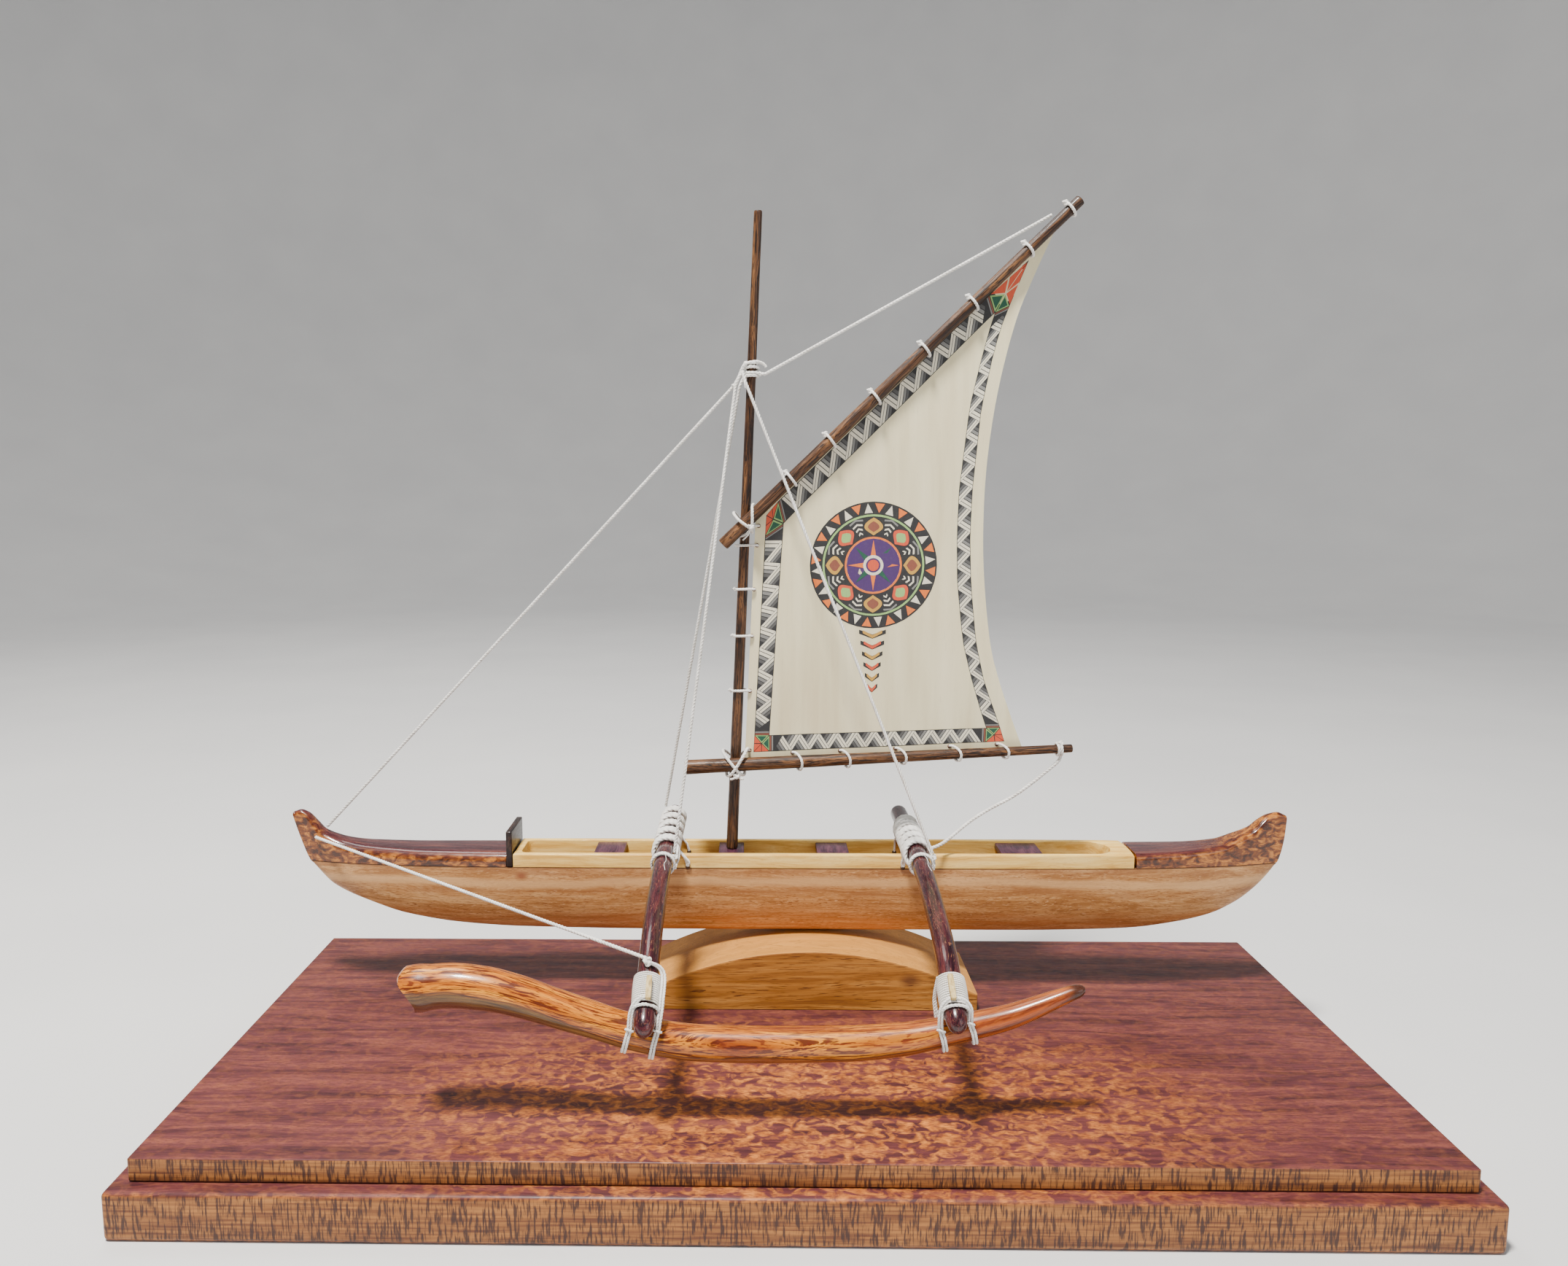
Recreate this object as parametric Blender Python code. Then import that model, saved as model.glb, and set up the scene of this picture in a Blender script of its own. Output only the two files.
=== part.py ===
"""Wooden display model of a sailing outrigger canoe, on its stand and two-tier plinth.

Sizes are in millimetres and MM turns them into metres when a mesh is made. The origin is at the
middle of the plinth's underside. +X runs to the stern, -Y to the outrigger float, +Z up.
"""
import math

import bmesh
import bpy
import numpy as np
from mathutils import Vector

MM = 0.001
GAP = 0.3                      # left between pieces that touch

# Plinth: two boards, the upper one smaller all round
LOWER_LENGTH, LOWER_WIDTH, LOWER_THICK = 508.0, 222.0, 19.0
LEDGE = 7.0
UPPER_THICK = 9.2
PLINTH_TOP = LOWER_THICK + GAP + UPPER_THICK

# Stand: one block with an arched top, under the hull
STAND_X, STAND_LENGTH = 10.7, 158.0
STAND_FRONT_Y, STAND_BACK_Y = 19.5, 69.0
STAND_TOP = 57.1
STAND_ARCH_RADIUS = 162.0

# Hull, coaming and decks share one plan and meet at the seam
HULL_Y = 49.0
HULL_FRONT, HULL_BACK = -233.6, 238.1      # where the bottom line meets the seam
HALF_LENGTH = 243.0
HALF_BEAM = 13.0
TIP_HALF_BEAM = 2.4
PLAN_POWER, PLAN_ROUND = 6.0, 0.87
SEAM_Z = 92.0
RAIL_Z = 98.8
RAIL_WIDTH = 3.2
SPLASH_X, SPLASH_THICK, SPLASH_TOP = -134.9, 2.9, 109.8
COCKPIT_FRONT, COCKPIT_BACK = -128.3, 158.0
COAMING_FRONT = SPLASH_X + SPLASH_THICK + GAP
COAMING_BACK = 167.3
COCKPIT_FLOOR = 64.0

# Crossbeams lie on the coaming and reach out to the float
BEAM_X = {"forward": -57.2, "aft": 60.8}
BEAM_RADIUS = 4.3
BEAM_END_LIFT = {"forward": 0.8, "aft": 3.2}   # the float is higher at the aft crossbeam
BEAM_CORD = 1.0                # radius of the cord wound round the beams
NOSE_LENGTH, NOSE_TIP = 9.0, 0.44   # the nose's length, and its end as a share of the radius
SHROUD_RING_Y = 11.0
FLOAT_Y = -74.0

# Mast, raked aft
MAST_FOOT_X, MAST_FOOT_Z, MAST_TOP_Z = -26.3, 98.3, 399.5
MAST_RAKE = 0.0427             # aft travel for each unit of height
MAST_FOOT_RADIUS, MAST_TOP_RADIUS = 2.8, 1.9

# Boom and spar cross the mast on its outrigger side
BOOM_FRONT, BOOM_BACK = (-48.7, 140.1), (136.4, 149.7)
BOOM_RADII = (3.5, 1.95)
SPAR_FRONT, SPAR_BACK = (-30.0, 247.0), (131.7, 401.8)
SPAR_RADII = (3.3, 2.75)
BOOM_Y, SPAR_Y = 42.7, 43.1
SAIL_Y, SAIL_THICK = 46.9, 0.5

CORD = 0.8                     # radius of the standing lines
SHEET_CORD = 0.9               # radius of the slack sheet

# Columns: x, z of the bottom line from the bow tip, under the keel, to the stern tip
KEEL = [(-241.9, 114.6), (-239.0, 105.0), (-235.8, 96.1), (-231.5, 88.9), (-222.5, 79.2),
        (-205.4, 71.1), (-186.0, 64.6), (-158.4, 60.2), (-129.3, 58.4), (-60.0, 57.4),
        (60.0, 57.4), (120.0, 57.5), (142.3, 57.9), (168.1, 58.9), (189.7, 61.8), (206.8, 65.9),
        (219.4, 72.1), (227.6, 78.5), (234.9, 86.5), (238.4, 92.3), (240.2, 98.0),
        (241.5, 106.1), (242.0, 113.6)]
# Columns: x, z of the top line of each deck
FORE_DECK_TOP = [(-241.9, 116.0), (-238.5, 117.0), (-235.0, 115.6), (-230.7, 111.0),
                 (-227.5, 107.4), (-222.0, 104.4), (-215.5, 102.2), (-204.7, 100.5),
                 (-175.0, 99.1), (SPLASH_X - GAP, 98.8)]
AFT_DECK_TOP = [(COAMING_BACK + GAP, 98.8), (192.0, 99.6), (210.0, 101.8), (218.0, 105.0),
                (226.0, 109.0), (230.0, 113.0), (234.0, 115.8), (238.4, 116.8), (242.0, 115.4)]
# Columns: y, z of a crossbeam's middle line, inboard end first
BEAM_LINE = [(93.0, 103.4), (62.0, 103.4), (36.0, 103.4), (20.0, 103.1), (10.0, 102.5),
             (-2.0, 101.3), (-14.0, 99.6), (-26.0, 97.4), (-38.0, 94.4), (-50.0, 90.2),
             (-62.0, 84.5), (-72.0, 77.8), (-81.0, 72.0), (-85.0, 69.4)]
# Columns: x, z, radius of the float
FLOAT_LINE = [(-148.6, 81.2, 8.6), (-132.0, 82.4, 8.5), (-119.0, 81.2, 8.3), (-105.0, 77.8, 8.0),
              (-92.0, 73.4, 7.6), (-78.0, 68.9, 7.2), (-65.0, 64.6, 7.0), (-50.0, 61.2, 6.9),
              (-36.0, 59.6, 6.9), (-16.0, 59.1, 6.9), (20.0, 59.7, 6.7), (42.0, 61.6, 6.3),
              (54.0, 63.9, 5.9), (68.0, 67.1, 5.4), (82.0, 70.7, 4.9), (92.0, 74.5, 4.4),
              (101.0, 78.4, 3.6), (107.0, 80.9, 2.9), (110.0, 82.1, 2.2), (111.0, 82.5, 1.2)]
FLOAT_CUT = (0.88, 0.0, 0.47)  # way into the log from its slanted bow end
# Columns: first x, last x, lowest z of each board across the cockpit
THWARTS = {"thwart_forward": (-93.3, -78.8, 95.2), "thwart_middle": (15.2, 30.6, 95.2),
           "thwart_aft": (104.2, 124.0, 95.2), "mast_step": (-32.6, -20.4, 93.6)}
THWART_TOP = 98.0
# Columns: x, z of the sail's edge, from the tack along the foot, up the leech, down the luff
SAIL_EDGE = [(-19.9, 142.8), (113.4, 149.6), (107.5, 165.1), (101.3, 183.0), (97.0, 200.0),
             (93.5, 229.0), (92.4, 255.0), (93.4, 285.0), (97.6, 318.0), (105.0, 349.3),
             (112.6, 369.0), (121.2, 388.6), (-14.6, 260.5)]
# The slack sheet's route, chosen by hand: from under the boom's end to the aft crossbeam
SHEET_POINTS = [(131.3, 42.7, 146.7), (130.0, 42.9, 143.2), (125.4, 43.8, 138.6),
                (119.0, 44.9, 132.6), (109.6, 45.6, 125.2), (99.0, 44.9, 119.6),
                (89.6, 42.2, 114.6), (82.4, 38.6, 110.2), (76.0, 34.8, 106.4),
                (71.2, 32.0, 104.6), (65.8, 30.4, 103.5)]

# Base colour, roughness
WOODS = {"walnut": ((0.20, 0.075, 0.035), 0.35), "pine": ((0.36, 0.19, 0.08), 0.5),
         "hull_wood": ((0.50, 0.29, 0.13), 0.35),
         "rail_wood": ((0.75, 0.57, 0.28), 0.4), "deck_wood": ((0.17, 0.06, 0.025), 0.25),
         "splash_wood": ((0.03, 0.02, 0.015), 0.4), "thwart_wood": ((0.09, 0.04, 0.05), 0.35),
         "spar_wood": ((0.13, 0.07, 0.035), 0.5), "beam_wood": ((0.11, 0.03, 0.03), 0.2),
         "float_wood": ((0.40, 0.14, 0.03), 0.2), "peg_wood": ((0.70, 0.55, 0.33), 0.5),
         "cord": ((0.80, 0.79, 0.75), 0.9), "thread": ((0.82, 0.80, 0.74), 0.85),
         "cloth": ((0.68, 0.62, 0.47), 0.85)}


def material(name):
    """The material of that name, made once."""
    found = bpy.data.materials.get(name)
    if found:
        return found
    colour, rough = WOODS[name]
    made = bpy.data.materials.new(name)
    made.use_nodes = True
    shader = made.node_tree.nodes["Principled BSDF"]
    shader.inputs["Base Color"].default_value = (*colour, 1.0)
    shader.inputs["Roughness"].default_value = rough
    shader.inputs["Metallic"].default_value = 0.0
    made.diffuse_color = (*colour, 1.0)
    return made


def place(obj, material_name, origin=(0.0, 0.0, 0.0), parent=None):
    """Link an object whose points are in model millimetres, with its origin at a chosen point."""
    bpy.context.scene.collection.objects.link(obj)
    obj.data.materials.append(material(material_name))
    obj.location = Vector(origin) * MM
    if parent is not None:
        obj.location -= parent.location
        obj.parent = parent
    return obj


def mesh_object(name, verts, faces, material_name, origin=(0.0, 0.0, 0.0), parent=None,
                sharp_degrees=40.0):
    """A mesh from points in millimetres, its faces turned outwards."""
    mesh = bpy.data.meshes.new(name)
    base = Vector(origin)
    mesh.from_pydata([(Vector(v) - base) * MM for v in verts], [], faces)
    bm = bmesh.new()
    bm.from_mesh(mesh)
    bmesh.ops.recalc_face_normals(bm, faces=bm.faces)
    bm.to_mesh(mesh)
    bm.free()
    mesh.shade_smooth()
    mesh.set_sharp_from_angle(angle=math.radians(sharp_degrees))
    return place(bpy.data.objects.new(name, mesh), material_name, origin, parent)


def loft(name, rings, material_name, closed=False, **options):
    """Skin rings of equally many points. The ends are capped unless the rings close on themselves."""
    count = len(rings[0])
    verts = [point for ring in rings for point in ring]
    faces = []
    pairs = len(rings) if closed else len(rings) - 1
    for i in range(pairs):
        here, there = i * count, ((i + 1) % len(rings)) * count
        for j in range(count):
            k = (j + 1) % count
            faces.append((here + j, here + k, there + k, there + j))
    if not closed:
        faces.append(tuple(range(count)))
        last = (len(rings) - 1) * count
        faces.append(tuple(last + j for j in range(count)))
    return mesh_object(name, verts, faces, material_name, **options)


def curve_through(table, x):
    """A smooth value at x through a table's (x, value) rows that never overshoots them."""
    xs = np.array([row[0] for row in table], float)
    ys = np.array([row[1] for row in table], float)
    steps = np.diff(xs)
    slopes = np.diff(ys) / steps
    tangents = np.zeros(len(xs))
    tangents[0], tangents[-1] = slopes[0], slopes[-1]
    for i in range(1, len(xs) - 1):
        before, after = slopes[i - 1], slopes[i]
        if before * after > 0.0:
            tangents[i] = 2.0 * before * after / (before + after)
    i = int(np.clip(np.searchsorted(xs, x) - 1, 0, len(xs) - 2))
    t = (x - xs[i]) / steps[i]
    t2, t3 = t * t, t * t * t
    return float(ys[i] * (2 * t3 - 3 * t2 + 1) + steps[i] * tangents[i] * (t3 - 2 * t2 + t)
                 + ys[i + 1] * (3 * t2 - 2 * t3) + steps[i] * tangents[i + 1] * (t3 - t2))


def smooth_path(points, per_span, closed=False):
    """Points of a smooth curve through the given points."""
    pts = [np.array(p, float) for p in points]
    count = len(pts)
    out = []
    for i in range(count if closed else count - 1):
        if closed:
            p0, p1, p2, p3 = (pts[(i + k) % count] for k in (-1, 0, 1, 2))
        else:
            p1, p2 = pts[i], pts[i + 1]
            p0 = pts[i - 1] if i > 0 else 2.0 * p1 - p2
            p3 = pts[i + 2] if i + 2 < count else 2.0 * p2 - p1
        for step in range(per_span):
            t = step / per_span
            out.append(0.5 * (2.0 * p1 + (p2 - p0) * t + (2 * p0 - 5 * p1 + 4 * p2 - p3) * t * t
                              + (3 * p1 - p0 - 3 * p2 + p3) * t ** 3))
    if not closed:
        out.append(pts[-1])
    return out


def tube(name, points, radius, material_name, closed=False, sides=2, origin=(0.0, 0.0, 0.0),
         parent=None):
    """A cord: a round tube along the points, with capped ends unless it is a closed ring."""
    curve = bpy.data.curves.new(name, "CURVE")
    curve.dimensions = "3D"
    curve.bevel_depth = radius * MM
    curve.bevel_resolution = sides
    curve.use_fill_caps = True
    spline = curve.splines.new("POLY")
    spline.points.add(len(points) - 1)
    for slot, point in zip(spline.points, points):
        slot.co = (*((Vector(point) - Vector(origin)) * MM), 1.0)
    spline.use_cyclic_u = closed
    return place(bpy.data.objects.new(name, curve), material_name, origin, parent)


def circle(centre, normal, radius, count, up=(0.0, 0.0, 1.0)):
    """Points of a circle round a centre, square to a normal."""
    n = Vector(normal).normalized()
    side = n.cross(Vector(up)).normalized()
    top = side.cross(n)
    c = Vector(centre)
    return [c + (side * math.cos(a) + top * math.sin(a)) * radius
            for a in (2.0 * math.pi * k / count for k in range(count))]


def rod(name, line, material_name, count=14, up=(0.0, 1.0, 0.0), **options):
    """A round rod along (point, radius) rows, with softened ends."""
    rows = [(Vector(p), r) for p, r in line]
    start, end = rows[0], rows[-1]
    into = (rows[1][0] - start[0]).normalized()
    out = (end[0] - rows[-2][0]).normalized()
    rows = ([(start[0], start[1] * 0.72), (start[0] + into * start[1] * 0.28, start[1])]
            + rows[1:-1]
            + [(end[0] - out * end[1] * 0.28, end[1]), (end[0], end[1] * 0.72)])
    rings = []
    for i, (point, radius) in enumerate(rows):
        ahead = rows[min(i + 1, len(rows) - 1)][0] - rows[max(i - 1, 0)][0]
        rings.append(circle(point, ahead, radius, count, up))
    return loft(name, rings, material_name, **options)


def rounded_board(name, low, high, edge, material_name):
    """A board between two corners, its edges rounded over."""
    low, high = Vector(low), Vector(high)
    centre = (low + high) / 2.0
    half = (high - low) / 2.0
    signs = [(x, y, z) for z in (-1, 1) for x, y in ((-1, -1), (1, -1), (1, 1), (-1, 1))]
    verts = [centre + Vector((s[0] * half.x, s[1] * half.y, s[2] * half.z)) for s in signs]
    faces = [(3, 2, 1, 0), (4, 5, 6, 7), (0, 1, 5, 4), (1, 2, 6, 5), (2, 3, 7, 6), (3, 0, 4, 7)]
    obj = mesh_object(name, verts, faces, material_name, origin=centre)
    bevel = obj.modifiers.new("edges", "BEVEL")
    bevel.width = edge * MM
    bevel.segments = 2
    return obj


def half_beam(x):
    """Half the hull's width at x."""
    taper = 1.0 - min(abs(x) / HALF_LENGTH, 1.0) ** PLAN_POWER
    return max(TIP_HALF_BEAM, HALF_BEAM * taper ** PLAN_ROUND)


def mast_x(z):
    """The mast's middle line at a height."""
    return MAST_FOOT_X + MAST_RAKE * (z - MAST_FOOT_Z)


def mast_radius(z):
    share = (z - MAST_FOOT_Z) / (MAST_TOP_Z - MAST_FOOT_Z)
    return MAST_FOOT_RADIUS + (MAST_TOP_RADIUS - MAST_FOOT_RADIUS) * share


def make_plinth():
    half_x, half_y = LOWER_LENGTH / 2.0, LOWER_WIDTH / 2.0
    rounded_board("base_lower_board", (-half_x, -half_y, 0.0), (half_x, half_y, LOWER_THICK),
                  2.0, "walnut")
    rounded_board("base_upper_board", (LEDGE - half_x, LEDGE - half_y, LOWER_THICK + GAP),
                  (half_x - LEDGE, half_y - LEDGE, PLINTH_TOP), 0.6, "walnut")


def make_stand():
    """A block with an arched top, its section the same all the way through."""
    steps = 16
    foot = PLINTH_TOP + GAP
    outline = [(STAND_X - STAND_LENGTH / 2.0, foot), (STAND_X + STAND_LENGTH / 2.0, foot)]
    for k in range(steps + 1):
        x = STAND_LENGTH * (0.5 - k / steps)
        drop = STAND_ARCH_RADIUS - math.sqrt(STAND_ARCH_RADIUS ** 2 - x * x)
        outline.append((STAND_X + x, STAND_TOP - drop))
    rings = [[(x, y, z) for x, z in outline] for y in (STAND_FRONT_Y, STAND_BACK_Y)]
    loft("stand", rings, "pine", origin=(STAND_X, HULL_Y, foot), sharp_degrees=25.0)


def hull_section(x, steps=16):
    """A round-bottomed section from the port seam, under the keel, to the starboard seam."""
    width, keel = half_beam(x), curve_through(KEEL, x)
    points = []
    for k in range(steps + 1):
        angle = math.pi * k / steps
        across = abs(math.cos(angle)) ** 0.77
        points.append((x, HULL_Y - math.copysign(across, math.cos(angle)) * width,
                       SEAM_Z - (SEAM_Z - keel) * math.sin(angle)))
    return points


def stations(first, last, count, crowd=1.0):
    """Places along x, closer together near both ends when crowd is above 0."""
    out = []
    for k in range(count):
        t = k / (count - 1)
        eased = t - crowd * math.sin(2.0 * math.pi * t) / (2.0 * math.pi)
        out.append(first + (last - first) * eased)
    return out


def cockpit_outline(inset=0.0, shrink=1.0):
    """The opening's plan: square in front with round corners, half-round behind."""
    inner = HALF_BEAM - RAIL_WIDTH - inset
    corner = 3.0
    front, back = COCKPIT_FRONT + inset, COCKPIT_BACK - inset
    arc_x = back - inner
    points = []
    for k in range(5):
        a = math.pi + math.pi / 2.0 * k / 4.0
        points.append((front + corner * (1 + math.cos(a)), -inner + corner * (1 + math.sin(a))))
    for x in (-60.0, 20.0, 90.0):
        points.append((x, -inner))
    for k in range(13):
        a = -math.pi / 2.0 + math.pi * k / 12.0
        points.append((arc_x + inner * math.cos(a), inner * math.sin(a)))
    for x in (90.0, 20.0, -60.0):
        points.append((x, inner))
    for k in range(5):
        a = math.pi / 2.0 + math.pi / 2.0 * k / 4.0
        points.append((front + corner * (1 + math.cos(a)), inner - corner * (1 - math.sin(a))))
    return [(x, y * shrink) for x, y in points]


def make_hull():
    rings = [hull_section(x) for x in stations(HULL_FRONT, HULL_BACK, 45, 0.75)]
    hull = loft("hull", rings, "hull_wood", origin=(0.0, HULL_Y, SEAM_Z), sharp_degrees=50.0)
    # Columns: z, inset of the plan, share of its width
    levels = [(COCKPIT_FLOOR, 6.0, 0.55), (COCKPIT_FLOOR + 5.0, 2.5, 0.86),
              (COCKPIT_FLOOR + 14.0, 0.6, 1.0), (SEAM_Z + 2.0, 0.6, 1.0)]
    rings = [[(x, HULL_Y + y, z) for x, y in cockpit_outline(inset, share)]
             for z, inset, share in levels]
    cutter = loft("cockpit_cutter", rings, "hull_wood", origin=(0.0, HULL_Y, SEAM_Z))
    cutter.hide_render = True
    cutter.display_type = "WIRE"
    cut = hull.modifiers.new("cockpit", "BOOLEAN")
    cut.operation = "DIFFERENCE"
    cut.solver = "EXACT"
    cut.object = cutter


def make_coaming():
    """A flat ring on the seam round the cockpit, its upper edges eased."""
    inner = cockpit_outline()
    span = COCKPIT_BACK - COCKPIT_FRONT
    outer = []
    for x, y in inner:
        share = (x - COCKPIT_FRONT) / span
        out_x = COAMING_FRONT + (COAMING_BACK - COAMING_FRONT) * share
        square = max(-1.0, min(1.0, y / 4.0))
        outer.append((out_x, square * half_beam(out_x)))
    low, high, ease = SEAM_Z + GAP, RAIL_Z, 0.9
    rings = []
    for (ix, iy), (ox, oy) in zip(inner, outer):
        reach = math.hypot(ox - ix, oy - iy)
        e = ease / reach

        def at(share, z):
            return (ox + (ix - ox) * share, HULL_Y + oy + (iy - oy) * share, z)

        rings.append([at(0.0, low), at(0.0, high - ease), at(e * 0.3, high - ease * 0.3),
                      at(e, high), at(1.0 - e * 0.5, high), at(1.0, high - ease * 0.5),
                      at(1.0, low)])
    loft("coaming", rings, "rail_wood", closed=True, origin=(0.0, HULL_Y, SEAM_Z),
         sharp_degrees=35.0)


def deck_section(x, top, round_over):
    """A deck's section: square below, its upper edges rounded over."""
    width = half_beam(x)
    low = max(SEAM_Z + GAP, curve_through(KEEL, x))
    radius = min(round_over, width * 0.9, (top - low) * 0.8)
    points = [(x, HULL_Y - width, low)]
    for side in (-1, 1):
        angles = [math.pi / 2.0 * k / 4.0 for k in range(5)]
        if side > 0:
            angles.reverse()
        for a in angles:
            points.append((x, HULL_Y + side * (width - radius * (1.0 - math.cos(a))),
                           top - radius * (1.0 - math.sin(a))))
    points.append((x, HULL_Y + width, low))
    return points


def make_deck(name, table, first, last, round_over):
    rings = []
    for x in stations(first, last, 26, 0.55):
        rings.append(deck_section(x, curve_through(table, x), round_over))
    loft(name, rings, "deck_wood", origin=(0.0, HULL_Y, SEAM_Z), sharp_degrees=45.0)


def make_cockpit_boards():
    rounded_board("splash_board", (SPLASH_X, HULL_Y - HALF_BEAM, SEAM_Z + GAP),
                  (SPLASH_X + SPLASH_THICK, HULL_Y + HALF_BEAM, SPLASH_TOP), 0.5, "splash_wood")
    reach = HALF_BEAM - RAIL_WIDTH - GAP
    for name, (first, last, low) in THWARTS.items():
        rounded_board(name, (first, HULL_Y - reach, low), (last, HULL_Y + reach, THWART_TOP),
                      0.35, "thwart_wood")


def make_mast():
    heights = (MAST_FOOT_Z, 200.0, 300.0, MAST_TOP_Z)
    line = [((mast_x(z), HULL_Y, z), mast_radius(z)) for z in heights]
    rod("mast", line, "spar_wood", origin=(mast_x(MAST_FOOT_Z), HULL_Y, MAST_FOOT_Z))


def beam_rows(side):
    """The rows of a crossbeam's middle line, its float end lifted as that side needs."""
    rows = []
    for y, z in BEAM_LINE:
        share = min(max((-30.0 - y) / 45.0, 0.0), 1.0)
        rows.append((y, z + BEAM_END_LIFT[side] * share * share * (3.0 - 2.0 * share)))
    return rows


def make_beam(side):
    """A round crossbeam, straight over the hull and curved down to a bullet-shaped nose."""
    x = BEAM_X[side]
    rows = beam_rows(side)
    path = smooth_path([(y, z, 0.0) for y, z in rows[2:]], 2)
    line = [((x, y, z), BEAM_RADIUS) for y, z in rows[:2]]
    tip = path[-1]
    for p in path:
        back = min(float(np.linalg.norm(p - tip)) / NOSE_LENGTH, 1.0)
        taper = max(NOSE_TIP, math.sqrt(1.0 - (1.0 - back) ** 2))
        line.append(((x, p[0], p[1]), BEAM_RADIUS * taper))
    rod(side + "_iako", line, "beam_wood", up=(1.0, 0.0, 0.0), origin=(x, HULL_Y, 103.4))


def beam_point(side, y):
    """The middle line of a crossbeam at y: its height and its direction towards the float."""
    rows = sorted(beam_rows(side))
    z = curve_through(rows, y)
    along = Vector((0.0, -1.0, -(z - curve_through(rows, y - 1.0)))).normalized()
    return z, along


def make_beam_lashing(side, first_y, turns):
    """Cord wound in open turns round a crossbeam, clear of the coaming's rails."""
    x, pitch, per_turn = BEAM_X[side], 10.5, 12
    radius = BEAM_RADIUS + GAP + BEAM_CORD + 0.15
    points = []
    for k in range(turns * per_turn + 1):
        a = -math.pi / 2.0 + 2.0 * math.pi * k / per_turn
        y = first_y - pitch * k / per_turn
        points.append((x + radius * math.cos(a), y, 103.4 + radius * math.sin(a)))
    tube(side + "_iako_lashing", points, BEAM_CORD, "cord")
    z, along = beam_point(side, SHROUD_RING_Y)
    ring = circle((x, SHROUD_RING_Y, z), along, radius, 14)
    tube(side + "_shroud_ring", ring, BEAM_CORD, "cord", closed=True)


def make_float():
    rings = []
    rows = FLOAT_LINE
    for i, (x, z, radius) in enumerate(rows):
        before, after = rows[max(i - 1, 0)], rows[min(i + 1, len(rows) - 1)]
        direction = (after[0] - before[0], 0.0, after[1] - before[1])
        if i == 0:
            direction = FLOAT_CUT
        rings.append(circle((x, FLOAT_Y, z), direction, radius, 16, (0.0, 1.0, 0.0)))
    loft("ama", rings, "float_wood", origin=(0.0, FLOAT_Y, 60.0), sharp_degrees=45.0)


def make_float_lashing(side):
    """What ties a crossbeam to the float: a thread sleeve, a binding, two loops and a peg."""
    x = BEAM_X[side]
    inner, outer = BEAM_RADIUS + GAP, BEAM_RADIUS + 1.5
    rings = []
    for radius in (inner, outer):
        ys = (-62.0, -66.0, -70.0, -74.0) if radius == inner else (-74.0, -70.0, -66.0, -62.0)
        for y in ys:
            z, along = beam_point(side, y)
            rings.append(circle((x, y, z), along, radius, 14, (1.0, 0.0, 0.0)))
    middle = (x, -68.0, beam_point(side, -68.0)[0])
    loft(side + "_ama_wrap", rings, "thread", closed=True, origin=middle)
    z, along = beam_point(side, -75.7)
    tube(side + "_ama_binding", circle((x, -75.7, z), along, BEAM_RADIUS + GAP + 0.8, 14),
         0.7, "cord", closed=True)
    start, end = -62.5, -72.5
    peg_line = []
    for y in (start, (start + end) / 2.0, end):
        z, along = beam_point(side, y)
        outward = Vector((1.0, 0.0, 0.0)).cross(along) * -1.0
        if outward.z < 0.0:
            outward = -outward
        peg_line.append((Vector((x, y, z)) + outward * (outer + GAP + 1.2), 1.2))
    rod(side + "_peg", peg_line, "peg_wood", count=10, up=(1.0, 0.0, 0.0), origin=middle)
    for hand, sign in (("forward", -1.0), ("aft", 1.0)):
        ring_x = x + sign * (outer + GAP + 1.4)
        centre_z = curve_through([(row[0], row[1]) for row in FLOAT_LINE], ring_x)
        radius = curve_through([(row[0], row[2]) for row in FLOAT_LINE], ring_x) * 1.06
        reach = radius + GAP + 0.9
        points = []
        for k in range(11):
            a = math.pi + math.pi * k / 10.0
            points.append((ring_x, FLOAT_Y + reach * math.cos(a), centre_z + reach * math.sin(a)))
        rise = 8.0
        for k in range(9):
            a = math.pi * k / 8.0
            points.append((ring_x, FLOAT_Y + reach * math.cos(a),
                           centre_z + rise + reach * 0.8 * math.sin(a)))
        tube("%s_ama_loop_%s" % (side, hand), points, 0.9, "cord", closed=True)


def make_lines():
    """The standing lines, each taut from the mast's collar to its foot."""
    collar_z, turns, per_turn = 331.4, 2, 12
    radius = mast_radius(collar_z) + GAP + CORD + 0.1
    points = []
    for k in range(turns * per_turn + 1):
        a = math.pi + 2.0 * math.pi * k / per_turn
        z = collar_z - 2.1 * k / per_turn
        points.append((mast_x(z) + radius * math.cos(a), HULL_Y + radius * math.sin(a), z))
    tube("stay_collar", points, CORD, "cord")
    # Columns: points of each line, from the mast down to its foot
    fore_z, aft_z = BEAM_LINE[0][1], beam_point("aft", SHROUD_RING_Y)[0]
    lines = {
        "forestay": [(-21.6, 48.2, 325.0), (-24.3, 48.2, 322.6), (-226.0, HULL_Y, 108.2)],
        "port_forward_shroud": [(-21.2, 45.8, 324.8), (-23.6, 45.2, 321.4),
                                (BEAM_X["forward"] + 5.2, SHROUD_RING_Y + 1.6, aft_z + 5.8)],
        "starboard_forward_shroud": [(-20.6, 52.4, 324.6), (-22.2, 53.2, 320.6),
                                     (BEAM_X["forward"] - 4.2, 84.0, fore_z + 6.2)],
        "port_aft_shroud": [(-17.2, 43.85, 325.8), (-16.0, 42.9, 321.5),
                            (BEAM_X["aft"] + 5.2, SHROUD_RING_Y + 1.6, aft_z + 5.8)],
        "bow_float_line": [(-229.8, 43.5, 104.6), (BEAM_X["forward"] - 0.6, -61.0, 92.6)],
    }
    for name, line in lines.items():
        tube(name, line, CORD, "cord")
    tube("sheet_line", sheet_route(), SHEET_CORD, "cord")


def sheet_route():
    return smooth_path(SHEET_POINTS, 3)


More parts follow.
